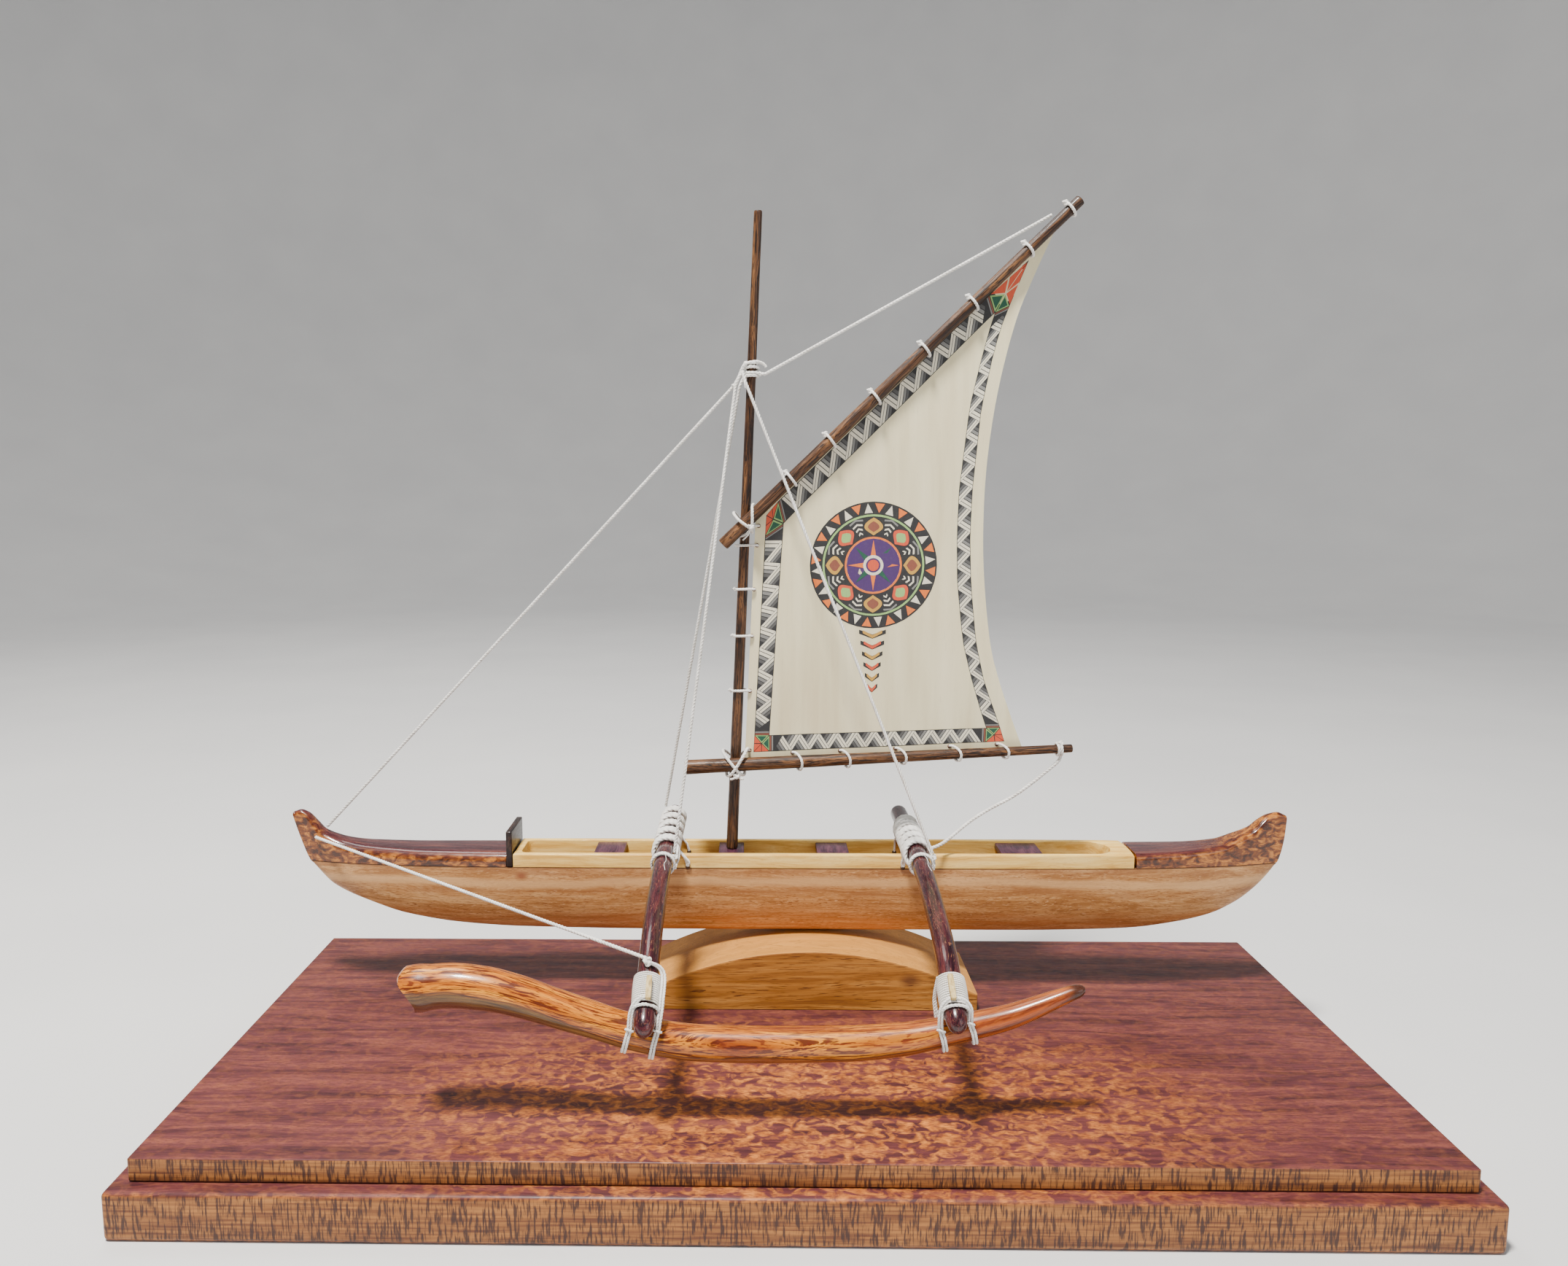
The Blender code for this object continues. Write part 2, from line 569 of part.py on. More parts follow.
def make_rig(hinge):
    """Boom, spar, sail and what ties them together turn about the mast."""
    at = hinge.location / MM
    sail_options = {"origin": at, "parent": hinge}
    for name, front, back, radii, y in (("boom", BOOM_FRONT, BOOM_BACK, BOOM_RADII, BOOM_Y),
                                        ("spar", SPAR_FRONT, SPAR_BACK, SPAR_RADII, SPAR_Y)):
        line = []
        for share in (0.0, 0.35, 0.7, 1.0):
            x = front[0] + (back[0] - front[0]) * share
            z = front[1] + (back[1] - front[1]) * share
            line.append(((x, y, z), radii[0] + (radii[1] - radii[0]) * share))
        rod(name, line, "spar_wood", **sail_options)
    rings = [[(x, SAIL_Y + side * SAIL_THICK / 2.0, z) for x, z in SAIL_EDGE] for side in (-1, 1)]
    loft("sail", rings, "cloth", **sail_options)
    # Columns: height of the crossing, half width across, front y, back y
    for name, z, half_across, front, back in (("boom_lashing", 141.2, 6.3, 37.9, 53.3),
                                              ("spar_lashing", 256.6, 4.9, 38.6, 52.9)):
        points = []
        middle, half_y = (front + back) / 2.0, (back - front) / 2.0
        for k in range(20):
            a = 2.0 * math.pi * k / 20.0
            c, s = math.cos(a), math.sin(a)
            across = math.copysign(abs(c) ** (2.0 / 3.0), c) * half_across
            y = middle + math.copysign(abs(s) ** (2.0 / 3.0), s) * half_y
            points.append((mast_x(z) - across * 0.707, y, z + across * 0.707))
        tube(name, points, CORD, "cord", closed=True, **sail_options)
    ring_z = 322.6
    radius = mast_radius(ring_z) + GAP + CORD + 0.1
    points = []
    for k in range(11):
        a = -0.2 + 2.0 * math.pi * (1.0 - k / 12.0)
        points.append((mast_x(ring_z) + radius * math.cos(a), HULL_Y + radius * math.sin(a),
                       ring_z + 0.22 * k))
    points += [(-11.4, 45.4, 325.6), (119.8, SPAR_Y, 396.2)]
    tube("peak_line", points, CORD, "cord", **sail_options)


def main():
    for obj in list(bpy.data.objects):
        bpy.data.objects.remove(obj, do_unlink=True)
    make_plinth()
    make_stand()
    make_hull()
    make_coaming()
    make_deck("fore_deck", FORE_DECK_TOP, -241.9, SPLASH_X - GAP, 4.5)
    make_deck("aft_deck", AFT_DECK_TOP, COAMING_BACK + GAP, 242.0, 3.0)
    make_cockpit_boards()
    make_mast()
    for side, first_y, turns in (("forward", 86.0, 5), ("aft", 75.5, 4)):
        make_beam(side)
        make_beam_lashing(side, first_y, turns)
        make_float_lashing(side)
    make_float()
    make_lines()
    hinge = bpy.data.objects.new("mast_axis", None)
    bpy.context.scene.collection.objects.link(hinge)
    hinge.location = Vector((mast_x(141.2), HULL_Y, 141.2)) * MM
    bpy.context.view_layer.update()
    make_rig(hinge)


main()
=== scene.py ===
"""Dressed model of a sailing outrigger canoe on its stand and plinth.

Points are in the CAD's millimetres and MM turns them into metres when a mesh is made.
+X runs to the stern, -Y to the float, +Z up.
"""
import math

import bmesh
import bpy
import numpy as np
from mathutils import Matrix, Vector


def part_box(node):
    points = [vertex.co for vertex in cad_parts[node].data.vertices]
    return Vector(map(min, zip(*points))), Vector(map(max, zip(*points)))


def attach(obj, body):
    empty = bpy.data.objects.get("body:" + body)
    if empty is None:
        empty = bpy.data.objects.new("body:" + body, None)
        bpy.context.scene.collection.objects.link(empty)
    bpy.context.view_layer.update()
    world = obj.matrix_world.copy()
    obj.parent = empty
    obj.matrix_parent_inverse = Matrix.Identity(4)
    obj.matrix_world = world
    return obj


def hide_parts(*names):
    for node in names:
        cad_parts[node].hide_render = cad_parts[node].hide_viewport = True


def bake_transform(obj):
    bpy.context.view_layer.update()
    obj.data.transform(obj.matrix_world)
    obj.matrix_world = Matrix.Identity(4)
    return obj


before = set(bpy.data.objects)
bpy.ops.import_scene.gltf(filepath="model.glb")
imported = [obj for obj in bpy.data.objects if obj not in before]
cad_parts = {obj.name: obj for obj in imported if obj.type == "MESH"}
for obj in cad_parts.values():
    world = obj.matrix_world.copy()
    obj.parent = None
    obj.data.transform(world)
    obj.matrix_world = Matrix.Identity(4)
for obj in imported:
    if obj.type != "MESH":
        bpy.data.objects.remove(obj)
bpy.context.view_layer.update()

MM = 0.001
HULL, RIG = "hull_and_plinth", "rig"

# Camera, solved from the photograph
FOCAL, WIDTH = 1553.0, 2150.0
SENSOR = 36.0
MIDDLE_PX = 1004.0
CAMERA_AT = (-15.7, -490.0, 272.2)
PITCH, YAW, ROLL = math.radians(7.16), math.radians(1.08), math.radians(-0.16)

# Driving sizes of the solids
HULL_Y, SEAM_Z, RAIL_Z, GAP = 49.0, 92.0, 98.8, 0.3
HULL_FRONT, HULL_BACK = -233.6, 238.1
HALF_LENGTH, HALF_BEAM, TIP_HALF_BEAM, RAIL_WIDTH = 243.0, 13.0, 2.4, 3.2
COCKPIT_FRONT, COCKPIT_BACK, COCKPIT_FLOOR = -128.3, 158.0, 64.0
COAMING_FRONT, COAMING_BACK = -131.7, 167.3
BEAM_X = {"forward": -57.2, "aft": 60.8}
BEAM_RADIUS = 4.3
BEAM_END_LIFT = {"forward": 0.8, "aft": 3.2}
FLOAT_Y = -74.0
SAIL_Y, SAIL_THICK = 46.9, 0.5
BOOM_Y, SPAR_Y = 42.7, 43.1
SHROUD_RING_Y = 11.0
MAST_FOOT_X, MAST_FOOT_Z, MAST_TOP_Z, MAST_RAKE = -26.3, 98.3, 399.5, 0.0427
MAST_RADII = (2.8, 1.9)
# Ends (x, z) and end radii of the sticks that carry the sail
BOOM = ((-48.7, 140.1), (136.4, 149.7), (3.5, 1.95))
SPAR = ((-30.0, 247.0), (131.7, 401.8), (2.95, 2.45))
LINE = 0.8                     # radius of the standing lines
# Where a strand of each winding is pinned to the near rail and to the far one
PIN_X = {"forward": -47.3, "aft": 55.7}
EYE_X = {"forward": -47.9, "aft": 54.5}
WOOD_RELIEF, CLOTH_RELIEF = 0.0002, 0.0001     # metres
WEAVE = 0.00042                # metres from thread to thread of the sail

# Columns: x, z of the hull's bottom line
KEEL = [(-241.9, 114.6), (-239.0, 105.0), (-235.8, 96.1), (-231.5, 88.9), (-222.5, 79.2),
        (-205.4, 71.1), (-186.0, 64.6), (-158.4, 60.2), (-129.3, 58.4), (-60.0, 57.4),
        (60.0, 57.4), (120.0, 57.5), (142.3, 57.9), (168.1, 58.9), (189.7, 61.8), (206.8, 65.9),
        (219.4, 72.1), (227.6, 78.5), (234.9, 86.5), (238.4, 92.3), (240.2, 98.0),
        (241.5, 106.1), (242.0, 113.6)]
FORE_DECK_TOP = [(-241.9, 116.0), (-238.5, 117.0), (-235.0, 115.6), (-230.7, 111.0),
                 (-227.5, 107.4), (-222.0, 104.4), (-215.5, 102.2), (-204.7, 100.5),
                 (-175.0, 99.1), (-135.2, 98.8)]
AFT_DECK_TOP = [(167.6, 98.8), (192.0, 99.6), (210.0, 101.8), (218.0, 105.0), (226.0, 109.0),
                (230.0, 113.0), (234.0, 115.8), (238.4, 116.8), (242.0, 115.4)]
# Columns: y, z of a crossbeam's middle line
BEAM_LINE = [(93.0, 103.4), (62.0, 103.4), (36.0, 103.4), (20.0, 103.1), (10.0, 102.5),
             (-2.0, 101.3), (-14.0, 99.6), (-26.0, 97.4), (-38.0, 94.4), (-50.0, 90.2),
             (-62.0, 84.5), (-72.0, 77.8), (-81.0, 72.0), (-85.0, 69.4)]
# Columns: x, z, radius of the float
FLOAT_LINE = [(-148.6, 81.2, 8.6), (-132.0, 82.4, 8.5), (-119.0, 81.2, 8.3), (-105.0, 77.8, 8.0),
              (-92.0, 73.4, 7.6), (-78.0, 68.9, 7.2), (-65.0, 64.6, 7.0), (-50.0, 61.2, 6.9),
              (-36.0, 59.6, 6.9), (-16.0, 59.1, 6.9), (20.0, 59.7, 6.7), (42.0, 61.6, 6.3),
              (54.0, 63.9, 5.9), (68.0, 67.1, 5.4), (82.0, 70.7, 4.9), (92.0, 74.5, 4.4),
              (101.0, 78.4, 3.6), (107.0, 80.9, 2.9), (110.0, 81.7, 2.2), (111.0, 82.0, 1.2)]
FLOAT_HEIGHT = [(x, z) for x, z, r in FLOAT_LINE]
FLOAT_RADIUS = [(x, r) for x, z, r in FLOAT_LINE]
# Columns: z, x of the float's hollowed bow end
FLOAT_END = [(71.5, -146.9), (75.3, -147.0), (78.0, -148.3), (82.1, -151.1), (85.9, -153.2),
             (87.6, -152.7), (89.2, -150.8), (90.6, -148.4)]
# Where the beams' windings cross their tops and pass under them, from the outer end
WINDING_TOPS = {"forward": (80.0, 68.0, 56.0, 44.0, 31.5), "aft": (64.5, 55.4, 46.3, 37.2, 28.0)}
WINDING_UNDER = {"forward": (86.0, 74.0, 65.4, 50.0, 42.6, 26.0),
                 "aft": (69.5, 55.5, 50.8, 42.6, 32.6, 23.5)}
# Where the fine thread, the cord across it and the stick lie along each beam
SLEEVE_Y = {"forward": (-66.2, -77.0), "aft": (-68.0, -79.2)}
BINDING_Y = {"forward": -78.6, "aft": -80.4}
STICK_Y = {"forward": (-69.3, -77.8), "aft": (-70.4, -79.4)}
STICK_SIDE = {"forward": 1.4, "aft": -1.3}
# Each sling's way down from the beam, then the x of the float where it goes round
SLINGS = {
    "forward_forward": ([(-57.6, -79.4, 81.0), (-59.8, -79.6, 79.6), (-61.6, -80.1, 77.2),
                         (-62.6, -80.4, 73.8), (-62.9, -80.9, 70.6), (-63.1, -81.3, 68.4)], -64.2),
    "forward_aft": ([(-57.0, -67.2, 89.4), (-53.0, -66.9, 87.5), (-51.0, -67.6, 84.4),
                     (-50.8, -72.0, 80.8), (-51.0, -75.6, 78.2), (-51.3, -79.0, 74.6),
                     (-51.8, -80.8, 71.4), (-52.3, -81.5, 68.2)], -54.0),
    "aft_forward": ([(59.8, -81.0, 81.9), (57.4, -81.0, 80.4), (55.6, -81.0, 77.4),
                     (55.2, -81.0, 74.0), (55.2, -80.8, 70.6), (55.5, -80.3, 68.4)], 56.6),
    "aft_aft": ([(62.0, -81.0, 81.9), (64.6, -81.0, 80.2), (66.2, -81.0, 77.6),
                 (66.5, -80.8, 74.4), (66.6, -80.2, 71.4)], 68.0)}
# Columns: x, z of the sail's edges, each from its lower end
LUFF = [(-19.9, 142.8), (-14.6, 260.5)]
HEAD = [(-14.6, 260.5), (121.2, 388.6)]
LEECH = [(113.4, 149.6), (107.5, 165.1), (101.3, 183.0), (97.0, 200.0), (93.5, 229.0),
         (92.4, 255.0), (93.4, 285.0), (97.6, 318.0), (105.0, 349.3), (112.6, 369.0),
         (121.2, 388.6)]
SHEET_POINTS = [(131.3, 42.7, 146.7), (130.0, 42.9, 143.2), (125.4, 43.8, 138.6),
                (119.0, 44.9, 132.6), (109.6, 45.6, 125.2), (99.0, 44.9, 119.6),
                (89.6, 42.2, 114.6), (82.4, 38.6, 110.2), (76.0, 34.8, 106.4),
                (71.2, 32.0, 104.6), (65.8, 30.4, 103.5)]


# Curves and paths

def round_angles(count):
    """Evenly spaced angles once round."""
    return [2.0 * math.pi * k / count for k in range(count)]


def smooth_path(points, per_span=6, closed=False):
    """Points of a smooth curve through the given points."""
    pts = [np.array(p, float) for p in points]
    count = len(pts)
    out = []
    for i in range(count if closed else count - 1):
        if closed:
            p0, p1, p2, p3 = (pts[(i + k) % count] for k in (-1, 0, 1, 2))
        else:
            p1, p2 = pts[i], pts[i + 1]
            p0 = pts[i - 1] if i > 0 else 2.0 * p1 - p2
            p3 = pts[i + 2] if i + 2 < count else 2.0 * p2 - p1
        for step in range(per_span):
            t = step / per_span
            out.append(0.5 * (2.0 * p1 + (p2 - p0) * t + (2 * p0 - 5 * p1 + 4 * p2 - p3) * t * t
                              + (3 * p1 - p0 - 3 * p2 + p3) * t ** 3))
    if not closed:
        out.append(pts[-1])
    return np.array(out)


def curve_through(table, x):
    """A smooth value at x through a table's (x, value) rows that never overshoots them."""
    xs = np.array([row[0] for row in table], float)
    ys = np.array([row[1] for row in table], float)
    steps = np.diff(xs)
    slopes = np.diff(ys) / steps
    tangents = np.zeros(len(xs))
    tangents[0], tangents[-1] = slopes[0], slopes[-1]
    for i in range(1, len(xs) - 1):
        before, after = slopes[i - 1], slopes[i]
        if before * after > 0.0:
            tangents[i] = 2.0 * before * after / (before + after)
    i = int(np.clip(np.searchsorted(xs, x) - 1, 0, len(xs) - 2))
    t = (x - xs[i]) / steps[i]
    t2, t3 = t * t, t * t * t
    return float(ys[i] * (2 * t3 - 3 * t2 + 1) + steps[i] * tangents[i] * (t3 - 2 * t2 + t)
                 + ys[i + 1] * (3 * t2 - 2 * t3) + steps[i] * tangents[i + 1] * (t3 - t2))


def resample(points, step, closed=False):
    """Evenly spaced points along a polyline, and its length."""
    pts = np.array([tuple(p) for p in points], float)
    if closed:
        pts = np.vstack([pts, pts[:1]])
    along = np.concatenate([[0.0], np.cumsum(np.linalg.norm(np.diff(pts, axis=0), axis=1))])
    count = max(3, int(round(along[-1] / step)))
    at = np.linspace(0.0, along[-1], count + 1)
    if closed:
        at = at[:-1]
    return np.stack([np.interp(at, along, pts[:, k]) for k in range(3)], 1), float(along[-1])


def path_frames(pts, closed=False, up=(0.0, 0.0, 1.0)):
    """Two directions square to the path at each of its points, turning as little as they can."""
    if closed:
        ahead = np.roll(pts, -1, 0) - np.roll(pts, 1, 0)
    else:
        ahead = np.gradient(pts, axis=0)
    ahead /= np.linalg.norm(ahead, axis=1)[:, None]
    side = np.cross(ahead[0], np.array(up, float))
    if np.linalg.norm(side) < 0.05:
        side = np.cross(ahead[0], (0.9, 0.1, 0.3))
    sides = []
    for t in ahead:
        side = side - t * (side @ t)
        side = side / np.linalg.norm(side)
        sides.append(side)
    sides = np.array(sides)
    others = np.cross(ahead, sides)
    if closed:
        last = sides[-1] - ahead[0] * (sides[-1] @ ahead[0])
        slip = math.atan2(last @ others[0], last @ sides[0])
        turn = -slip * np.arange(len(pts)) / len(pts)
        c, s = np.cos(turn)[:, None], np.sin(turn)[:, None]
        sides, others = sides * c + others * s, others * c - sides * s
    return ahead, sides, others


# Materials

def node(tree, kind, inputs=None, **settings):
    """Adds a shader node, with values or links for its inputs."""
    made = tree.nodes.new("ShaderNode" + kind)
    for key, value in settings.items():
        setattr(made, key, value)
    for key, value in (inputs or {}).items():
        if isinstance(value, bpy.types.NodeSocket):
            tree.links.new(value, made.inputs[key])
        else:
            made.inputs[key].default_value = value
    return made


def new_material(name, rough, coat=0.0, coat_rough=0.1, sheen=0.0):
    made = bpy.data.materials.new(name)
    made.use_nodes = True
    shader = made.node_tree.nodes["Principled BSDF"]
    shader.inputs["Roughness"].default_value = rough
    shader.inputs["Coat Weight"].default_value = coat
    shader.inputs["Coat Roughness"].default_value = coat_rough
    shader.inputs["Sheen Weight"].default_value = sheen
    return made, made.node_tree, shader


def mix(tree, factor, a, b, mode="MIX"):
    made = tree.nodes.new("ShaderNodeMix")
    made.data_type = "RGBA"
    made.blend_type = mode
    for slot, value in ((0, factor), (6, a), (7, b)):
        if isinstance(value, bpy.types.NodeSocket):
            tree.links.new(value, made.inputs[slot])
        elif slot == 0:
            made.inputs[slot].default_value = value
        else:
            made.inputs[slot].default_value = (*value, 1.0)
    return made.outputs[2]


def ramp(tree, factor, stops):
    made = node(tree, "ValToRGB", {"Fac": factor})
    row = made.color_ramp.elements
    while len(row) < len(stops):
        row.new(0.5)
    for slot, (at, colour) in zip(row, stops):
        slot.position = at
        slot.color = (*colour, 1.0)
    return made.outputs["Color"]


def spread(tree, value, low, high, to_low=0.0, to_high=1.0):
    made = node(tree, "MapRange", {"Value": value, "From Min": low, "From Max": high,
                                   "To Min": to_low, "To Max": to_high})
    return made.outputs["Result"]


def calc(tree, how, a, b=0.0):
    made = tree.nodes.new("ShaderNodeMath")
    made.operation = how
    for slot, value in enumerate((a, b)):
        if isinstance(value, bpy.types.NodeSocket):
            tree.links.new(value, made.inputs[slot])
        else:
            made.inputs[slot].default_value = value
    return made.outputs[0]


def times(tree, a, b):
    return calc(tree, "MULTIPLY", a, b)


def add(tree, a, b):
    return calc(tree, "ADD", a, b)


def near(tree, value, at, inner, outer, share):
    """A share close to a value, fading to nothing between two distances from it."""
    away = calc(tree, "ABSOLUTE", calc(tree, "SUBTRACT", value, at))
    return spread(tree, away, inner, outer, share, 0.0)


def axis(tree, vector, which):
    return node(tree, "SeparateXYZ", {"Vector": vector}).outputs[which]


def noise_at(tree, at, scale, detail):
    """Noise at a place. Three scales stretch it."""
    if isinstance(scale, tuple):
        at = node(tree, "Mapping", {"Vector": at, "Scale": scale}).outputs["Vector"]
        scale = 1.0
    return node(tree, "TexNoise", {"Vector": at, "Scale": scale, "Detail": detail}).outputs["Fac"]


def dress(tree, shader, colour, rough, height, strength, depth):
    """Gives a shader its colour, its roughness and its relief."""
    raised = node(tree, "Bump", {"Strength": strength, "Distance": depth, "Height": height})
    for slot, value in (("Base Color", colour), ("Roughness", rough),
                        ("Normal", raised.outputs["Normal"])):
        tree.links.new(value, shader.inputs[slot])


def wood(name, tones, along=22.0, across=0.9, layers=(), extra=None, rough=(0.28, 0.5), coat=0.3,
         coat_rough=0.12, bump=0.25, contrast=0.12):
    """Varnished wood. The point attribute "grain" holds millimetres along and across its grain.

    A layer is a colour, its patches' sizes in X, Y and Z, from, to and share.
    """
    made, tree, shader = new_material(name, 0.4, coat, coat_rough)
    shader.inputs["Specular IOR Level"].default_value = 0.3
    grain = node(tree, "Attribute", attribute_name="grain").outputs["Vector"]

    def noise(size, detail=3.0, shift=0.0, bend=0.0, vector=None):
        at = node(tree, "Mapping", {"Vector": vector or grain, "Location": (shift, shift, shift),
                                    "Scale": tuple(1.0 / s for s in size)})
        made_noise = node(tree, "TexNoise", {"Vector": at.outputs["Vector"], "Scale": 1.0,
                                             "Detail": detail, "Distortion": bend})
        return made_noise.outputs["Fac"]

    sway = noise((along * 2.0, across * 14.0, across * 14.0), 1.0, 3.1)
    drift = spread(tree, sway, 0.3, 0.7, -across * 3.0, across * 3.0)
    shifted = node(tree, "VectorMath", {0: grain, 1: node(tree, "CombineXYZ", {
        "Y": drift, "Z": drift}).outputs["Vector"]}, operation="ADD").outputs["Vector"]
    broad = noise((along * 1.6, across * 4.5, across * 4.5), 3.0, 0.0, 0.2, shifted)
    fine = noise((along * 0.6, across, across), 4.0, 7.7, 0.0, shifted)
    tone = add(tree, times(tree, broad, 0.6), times(tree, fine, 0.4))
    colour = ramp(tree, tone,
                  [(0.5 - contrast, tones[0]), (0.5, tones[1]), (0.5 + contrast, tones[2])])
    for k, (tint, size, low, high, share) in enumerate(layers):
        spots = noise(size, 2.5, 11.3 + 7.7 * k, 0.15, shifted)
        colour = mix(tree, spread(tree, spots, low, high, 0.0, share), colour, tint)
    if extra:
        colour = extra(tree, grain, noise, colour)
    pores = noise((across * 6.0, across * 0.45, across * 0.45), 2.0, 2.4)
    height = add(tree, times(tree, pores, 0.6), times(tree, fine, 0.5))
    dress(tree, shader, colour, spread(tree, pores, 0.3, 0.7, rough[1], rough[0]), height, bump,
          WOOD_RELIEF)
    return made


def upward(tree, low, high):
    """0 on upright faces and 1 on level ones."""
    normal = node(tree, "NewGeometry").outputs["Normal"]
    up = axis(tree, normal, "Z")
    return spread(tree, calc(tree, "ABSOLUTE", up), low, high)


def knot(tree, grain, colour, at, size, tint, stretch=1.0):
    """A knot in the wood around a point."""
    off = node(tree, "VectorMath", {0: grain, 1: tuple(at)}, operation="SUBTRACT").outputs["Vector"]
    flat = node(tree, "VectorMath", {0: off, 1: (1.0 / stretch, 1.0, 1.0)}, operation="MULTIPLY")
    away = node(tree, "VectorMath", {0: flat.outputs["Vector"]},
                operation="LENGTH").outputs["Value"]
    return mix(tree, spread(tree, away, size * 0.25, size, 0.85, 0.0), colour, tint)


def plinth_colours(tree, grain, noise, colour):
    x = calc(tree, "DIVIDE", calc(tree, "SUBTRACT", axis(tree, grain, "X"), 10.0), 165.0)
    y = calc(tree, "DIVIDE", add(tree, axis(tree, grain, "Y"), 66.0), 72.0)
    away = add(tree, times(tree, x, x), times(tree, y, y))
    middle = spread(tree, away, 0.1, 1.3, 1.0, 0.12)
    ledge = spread(tree, axis(tree, grain, "Z"), 18.0, 19.2, 1.0, 0.0)
    middle = calc(tree, "MAXIMUM", middle, times(tree, ledge, 0.85))
    patches = spread(tree, noise((6.0, 4.4, 5.0), 6.0, 4.4, 0.9), 0.43, 0.60)
    gold = ramp(tree, noise((3.0, 2.4, 3.0), 3.0, 8.1), [(0.3, (0.30, 0.075, 0.012)),
                                                      (0.7, (0.64, 0.215, 0.034))])
    colour = mix(tree, times(tree, patches, middle), colour, gold)
    ripple = spread(tree, noise((2.6, 0.45, 0.5), 3.0, 17.0, 0.5), 0.50, 0.64, 0.0, 0.75)
    colour = mix(tree, ripple, colour, (0.075, 0.020, 0.014))
    gold = ramp(tree, noise((30.0, 30.0, 1.1), 3.0, 21.0), [(0.32, (0.13, 0.040, 0.014)),
                                                        (0.68, (0.40, 0.16, 0.040))])
    bars = spread(tree, noise((0.8, 30.0, 6.5), 3.0, 27.0), 0.47, 0.60, 0.0, 0.9)
    edge = mix(tree, bars, gold, (0.035, 0.013, 0.011))
    return mix(tree, upward(tree, 0.3, 0.75), edge, colour)


def stand_colours(tree, grain, noise, colour):
    colour = knot(tree, grain, colour, (58.0, 19.5, 43.3), 4.2, (0.13, 0.045, 0.015), 1.5)
    # The level arched top is mixed toward a lighter gold: a painted highlight where the light falls
    # on the top.
    return mix(tree, times(tree, upward(tree, 0.5, 0.9), 0.6), colour, (0.64, 0.30, 0.060))


def hull_colours(tree, grain, noise, colour):
    wave = spread(tree, noise((70.0, 90.0, 90.0), 2.0, 41.0), 0.3, 0.7, -1.8, 1.8)
    z = add(tree, axis(tree, grain, "Z"), wave)
    rings = spread(tree, noise((26.0, 6.0, 2.4), 2.0, 51.0, 0.5), 0.42, 0.6, 0.25, 1.0)
    for low, high, share, tint in ((86.0, 89.5, (0.0, 0.62), (0.30, 0.115, 0.036)),
                                   (64.0, 72.0, (0.60, 0.0), (0.46, 0.145, 0.024))):
        colour = mix(tree, times(tree, spread(tree, z, low, high, *share), rings), colour, tint)
    band = near(tree, z, 79.5, 1.2, 3.4, 0.6)
    colour = mix(tree, times(tree, band, rings), colour, (0.33, 0.13, 0.042))
    band = near(tree, z, 84.0, 1.0, 3.0, 0.7)
    colour = mix(tree, band, colour, (0.70, 0.41, 0.18))
    colour = knot(tree, grain, colour, (-127.8, 36.5, 87.8), 2.8, (0.26, 0.075, 0.03), 1.5)
    seam = spread(tree, axis(tree, grain, "Z"), 91.5, 91.8, 0.0, 0.8)
    return mix(tree, seam, colour, (0.16, 0.07, 0.03))


def deck_colours(tree, grain, noise, colour):
    mottle = noise((5.0, 2.6, 3.0), 4.0, 6.1, 0.7)
    golden = ramp(tree, mottle, [(0.38, (0.045, 0.011, 0.004)), (0.5, (0.19, 0.050, 0.007)),
                                 (0.63, (0.52, 0.19, 0.028))])
    marks = spread(tree, noise((2.4, 2.0, 0.35), 2.5, 9.1), 0.55, 0.66, 0.0, 0.75)
    golden = mix(tree, marks, golden, (0.07, 0.018, 0.008))
    # The upright sides take the golden mottle by their slope: the mottle is the wood's figure, its
    # golden brightness on the sides a painted sheen.
    side = calc(tree, "SUBTRACT", 1.0, upward(tree, 0.25, 0.85))
    horn = spread(tree, axis(tree, grain, "X"), 198.0, 222.0, 0.0, 0.85)
    return mix(tree, calc(tree, "MAXIMUM", side, horn), colour, golden)


def float_colours(tree, grain, noise, colour):
    x = axis(tree, grain, "X")
    wave = spread(tree, noise((30.0, 40.0, 40.0), 2.0, 33.0), 0.3, 0.7, -1.0, 1.0)
    z = add(tree, axis(tree, grain, "Z"), wave)
    # Sets the height of the painted shade's upper edge along the float.
    z = calc(tree, "SUBTRACT", z, spread(tree, x, -150.0, -40.0, 3.2, -1.6))
    aft = ramp(tree, noise((30.0, 1.6, 1.6), 3.0, 15.0), [(0.38, (0.10, 0.014, 0.005)),
                                                         (0.62, (0.34, 0.065, 0.010))])
    colour = mix(tree, spread(tree, x, 0.0, 80.0, 0.0, 0.85), colour, aft)
    # Painted shade on the lower half, the side away from the light; its colours follow the log's
    # own change from olive forward to red aft, with a darker mottle.
    under = mix(tree, spread(tree, x, -90.0, -20.0), (0.13, 0.065, 0.014), (0.24, 0.050, 0.008))
    underside_shade_mottle = ramp(tree, noise((18.0, 1.0, 0.9), 3.0, 3.3), [(0.38, (0.030, 0.012, 0.005)),
                                                         (0.62, (0.19, 0.095, 0.022))])
    under = mix(tree, spread(tree, x, -100.0, -30.0, 0.75, 0.3), under, underside_shade_mottle)
    colour = mix(tree, spread(tree, z, -2.2, -0.6, 0.92, 0.0), colour, under)
    # The bottom is darkened further: painted shade.
    colour = mix(tree, spread(tree, z, -7.0, -3.4, 0.85, 0.0), colour, (0.085, 0.016, 0.010))
    # A thin dark line along the upper edge of the painted shade.
    colour = mix(tree, near(tree, z, -1.3, 0.1, 0.5, 0.8), colour, (0.05, 0.014, 0.008))
    return mix(tree, spread(tree, x, 103.0, 107.0, 0.0, 0.9), colour, (0.035, 0.012, 0.007))


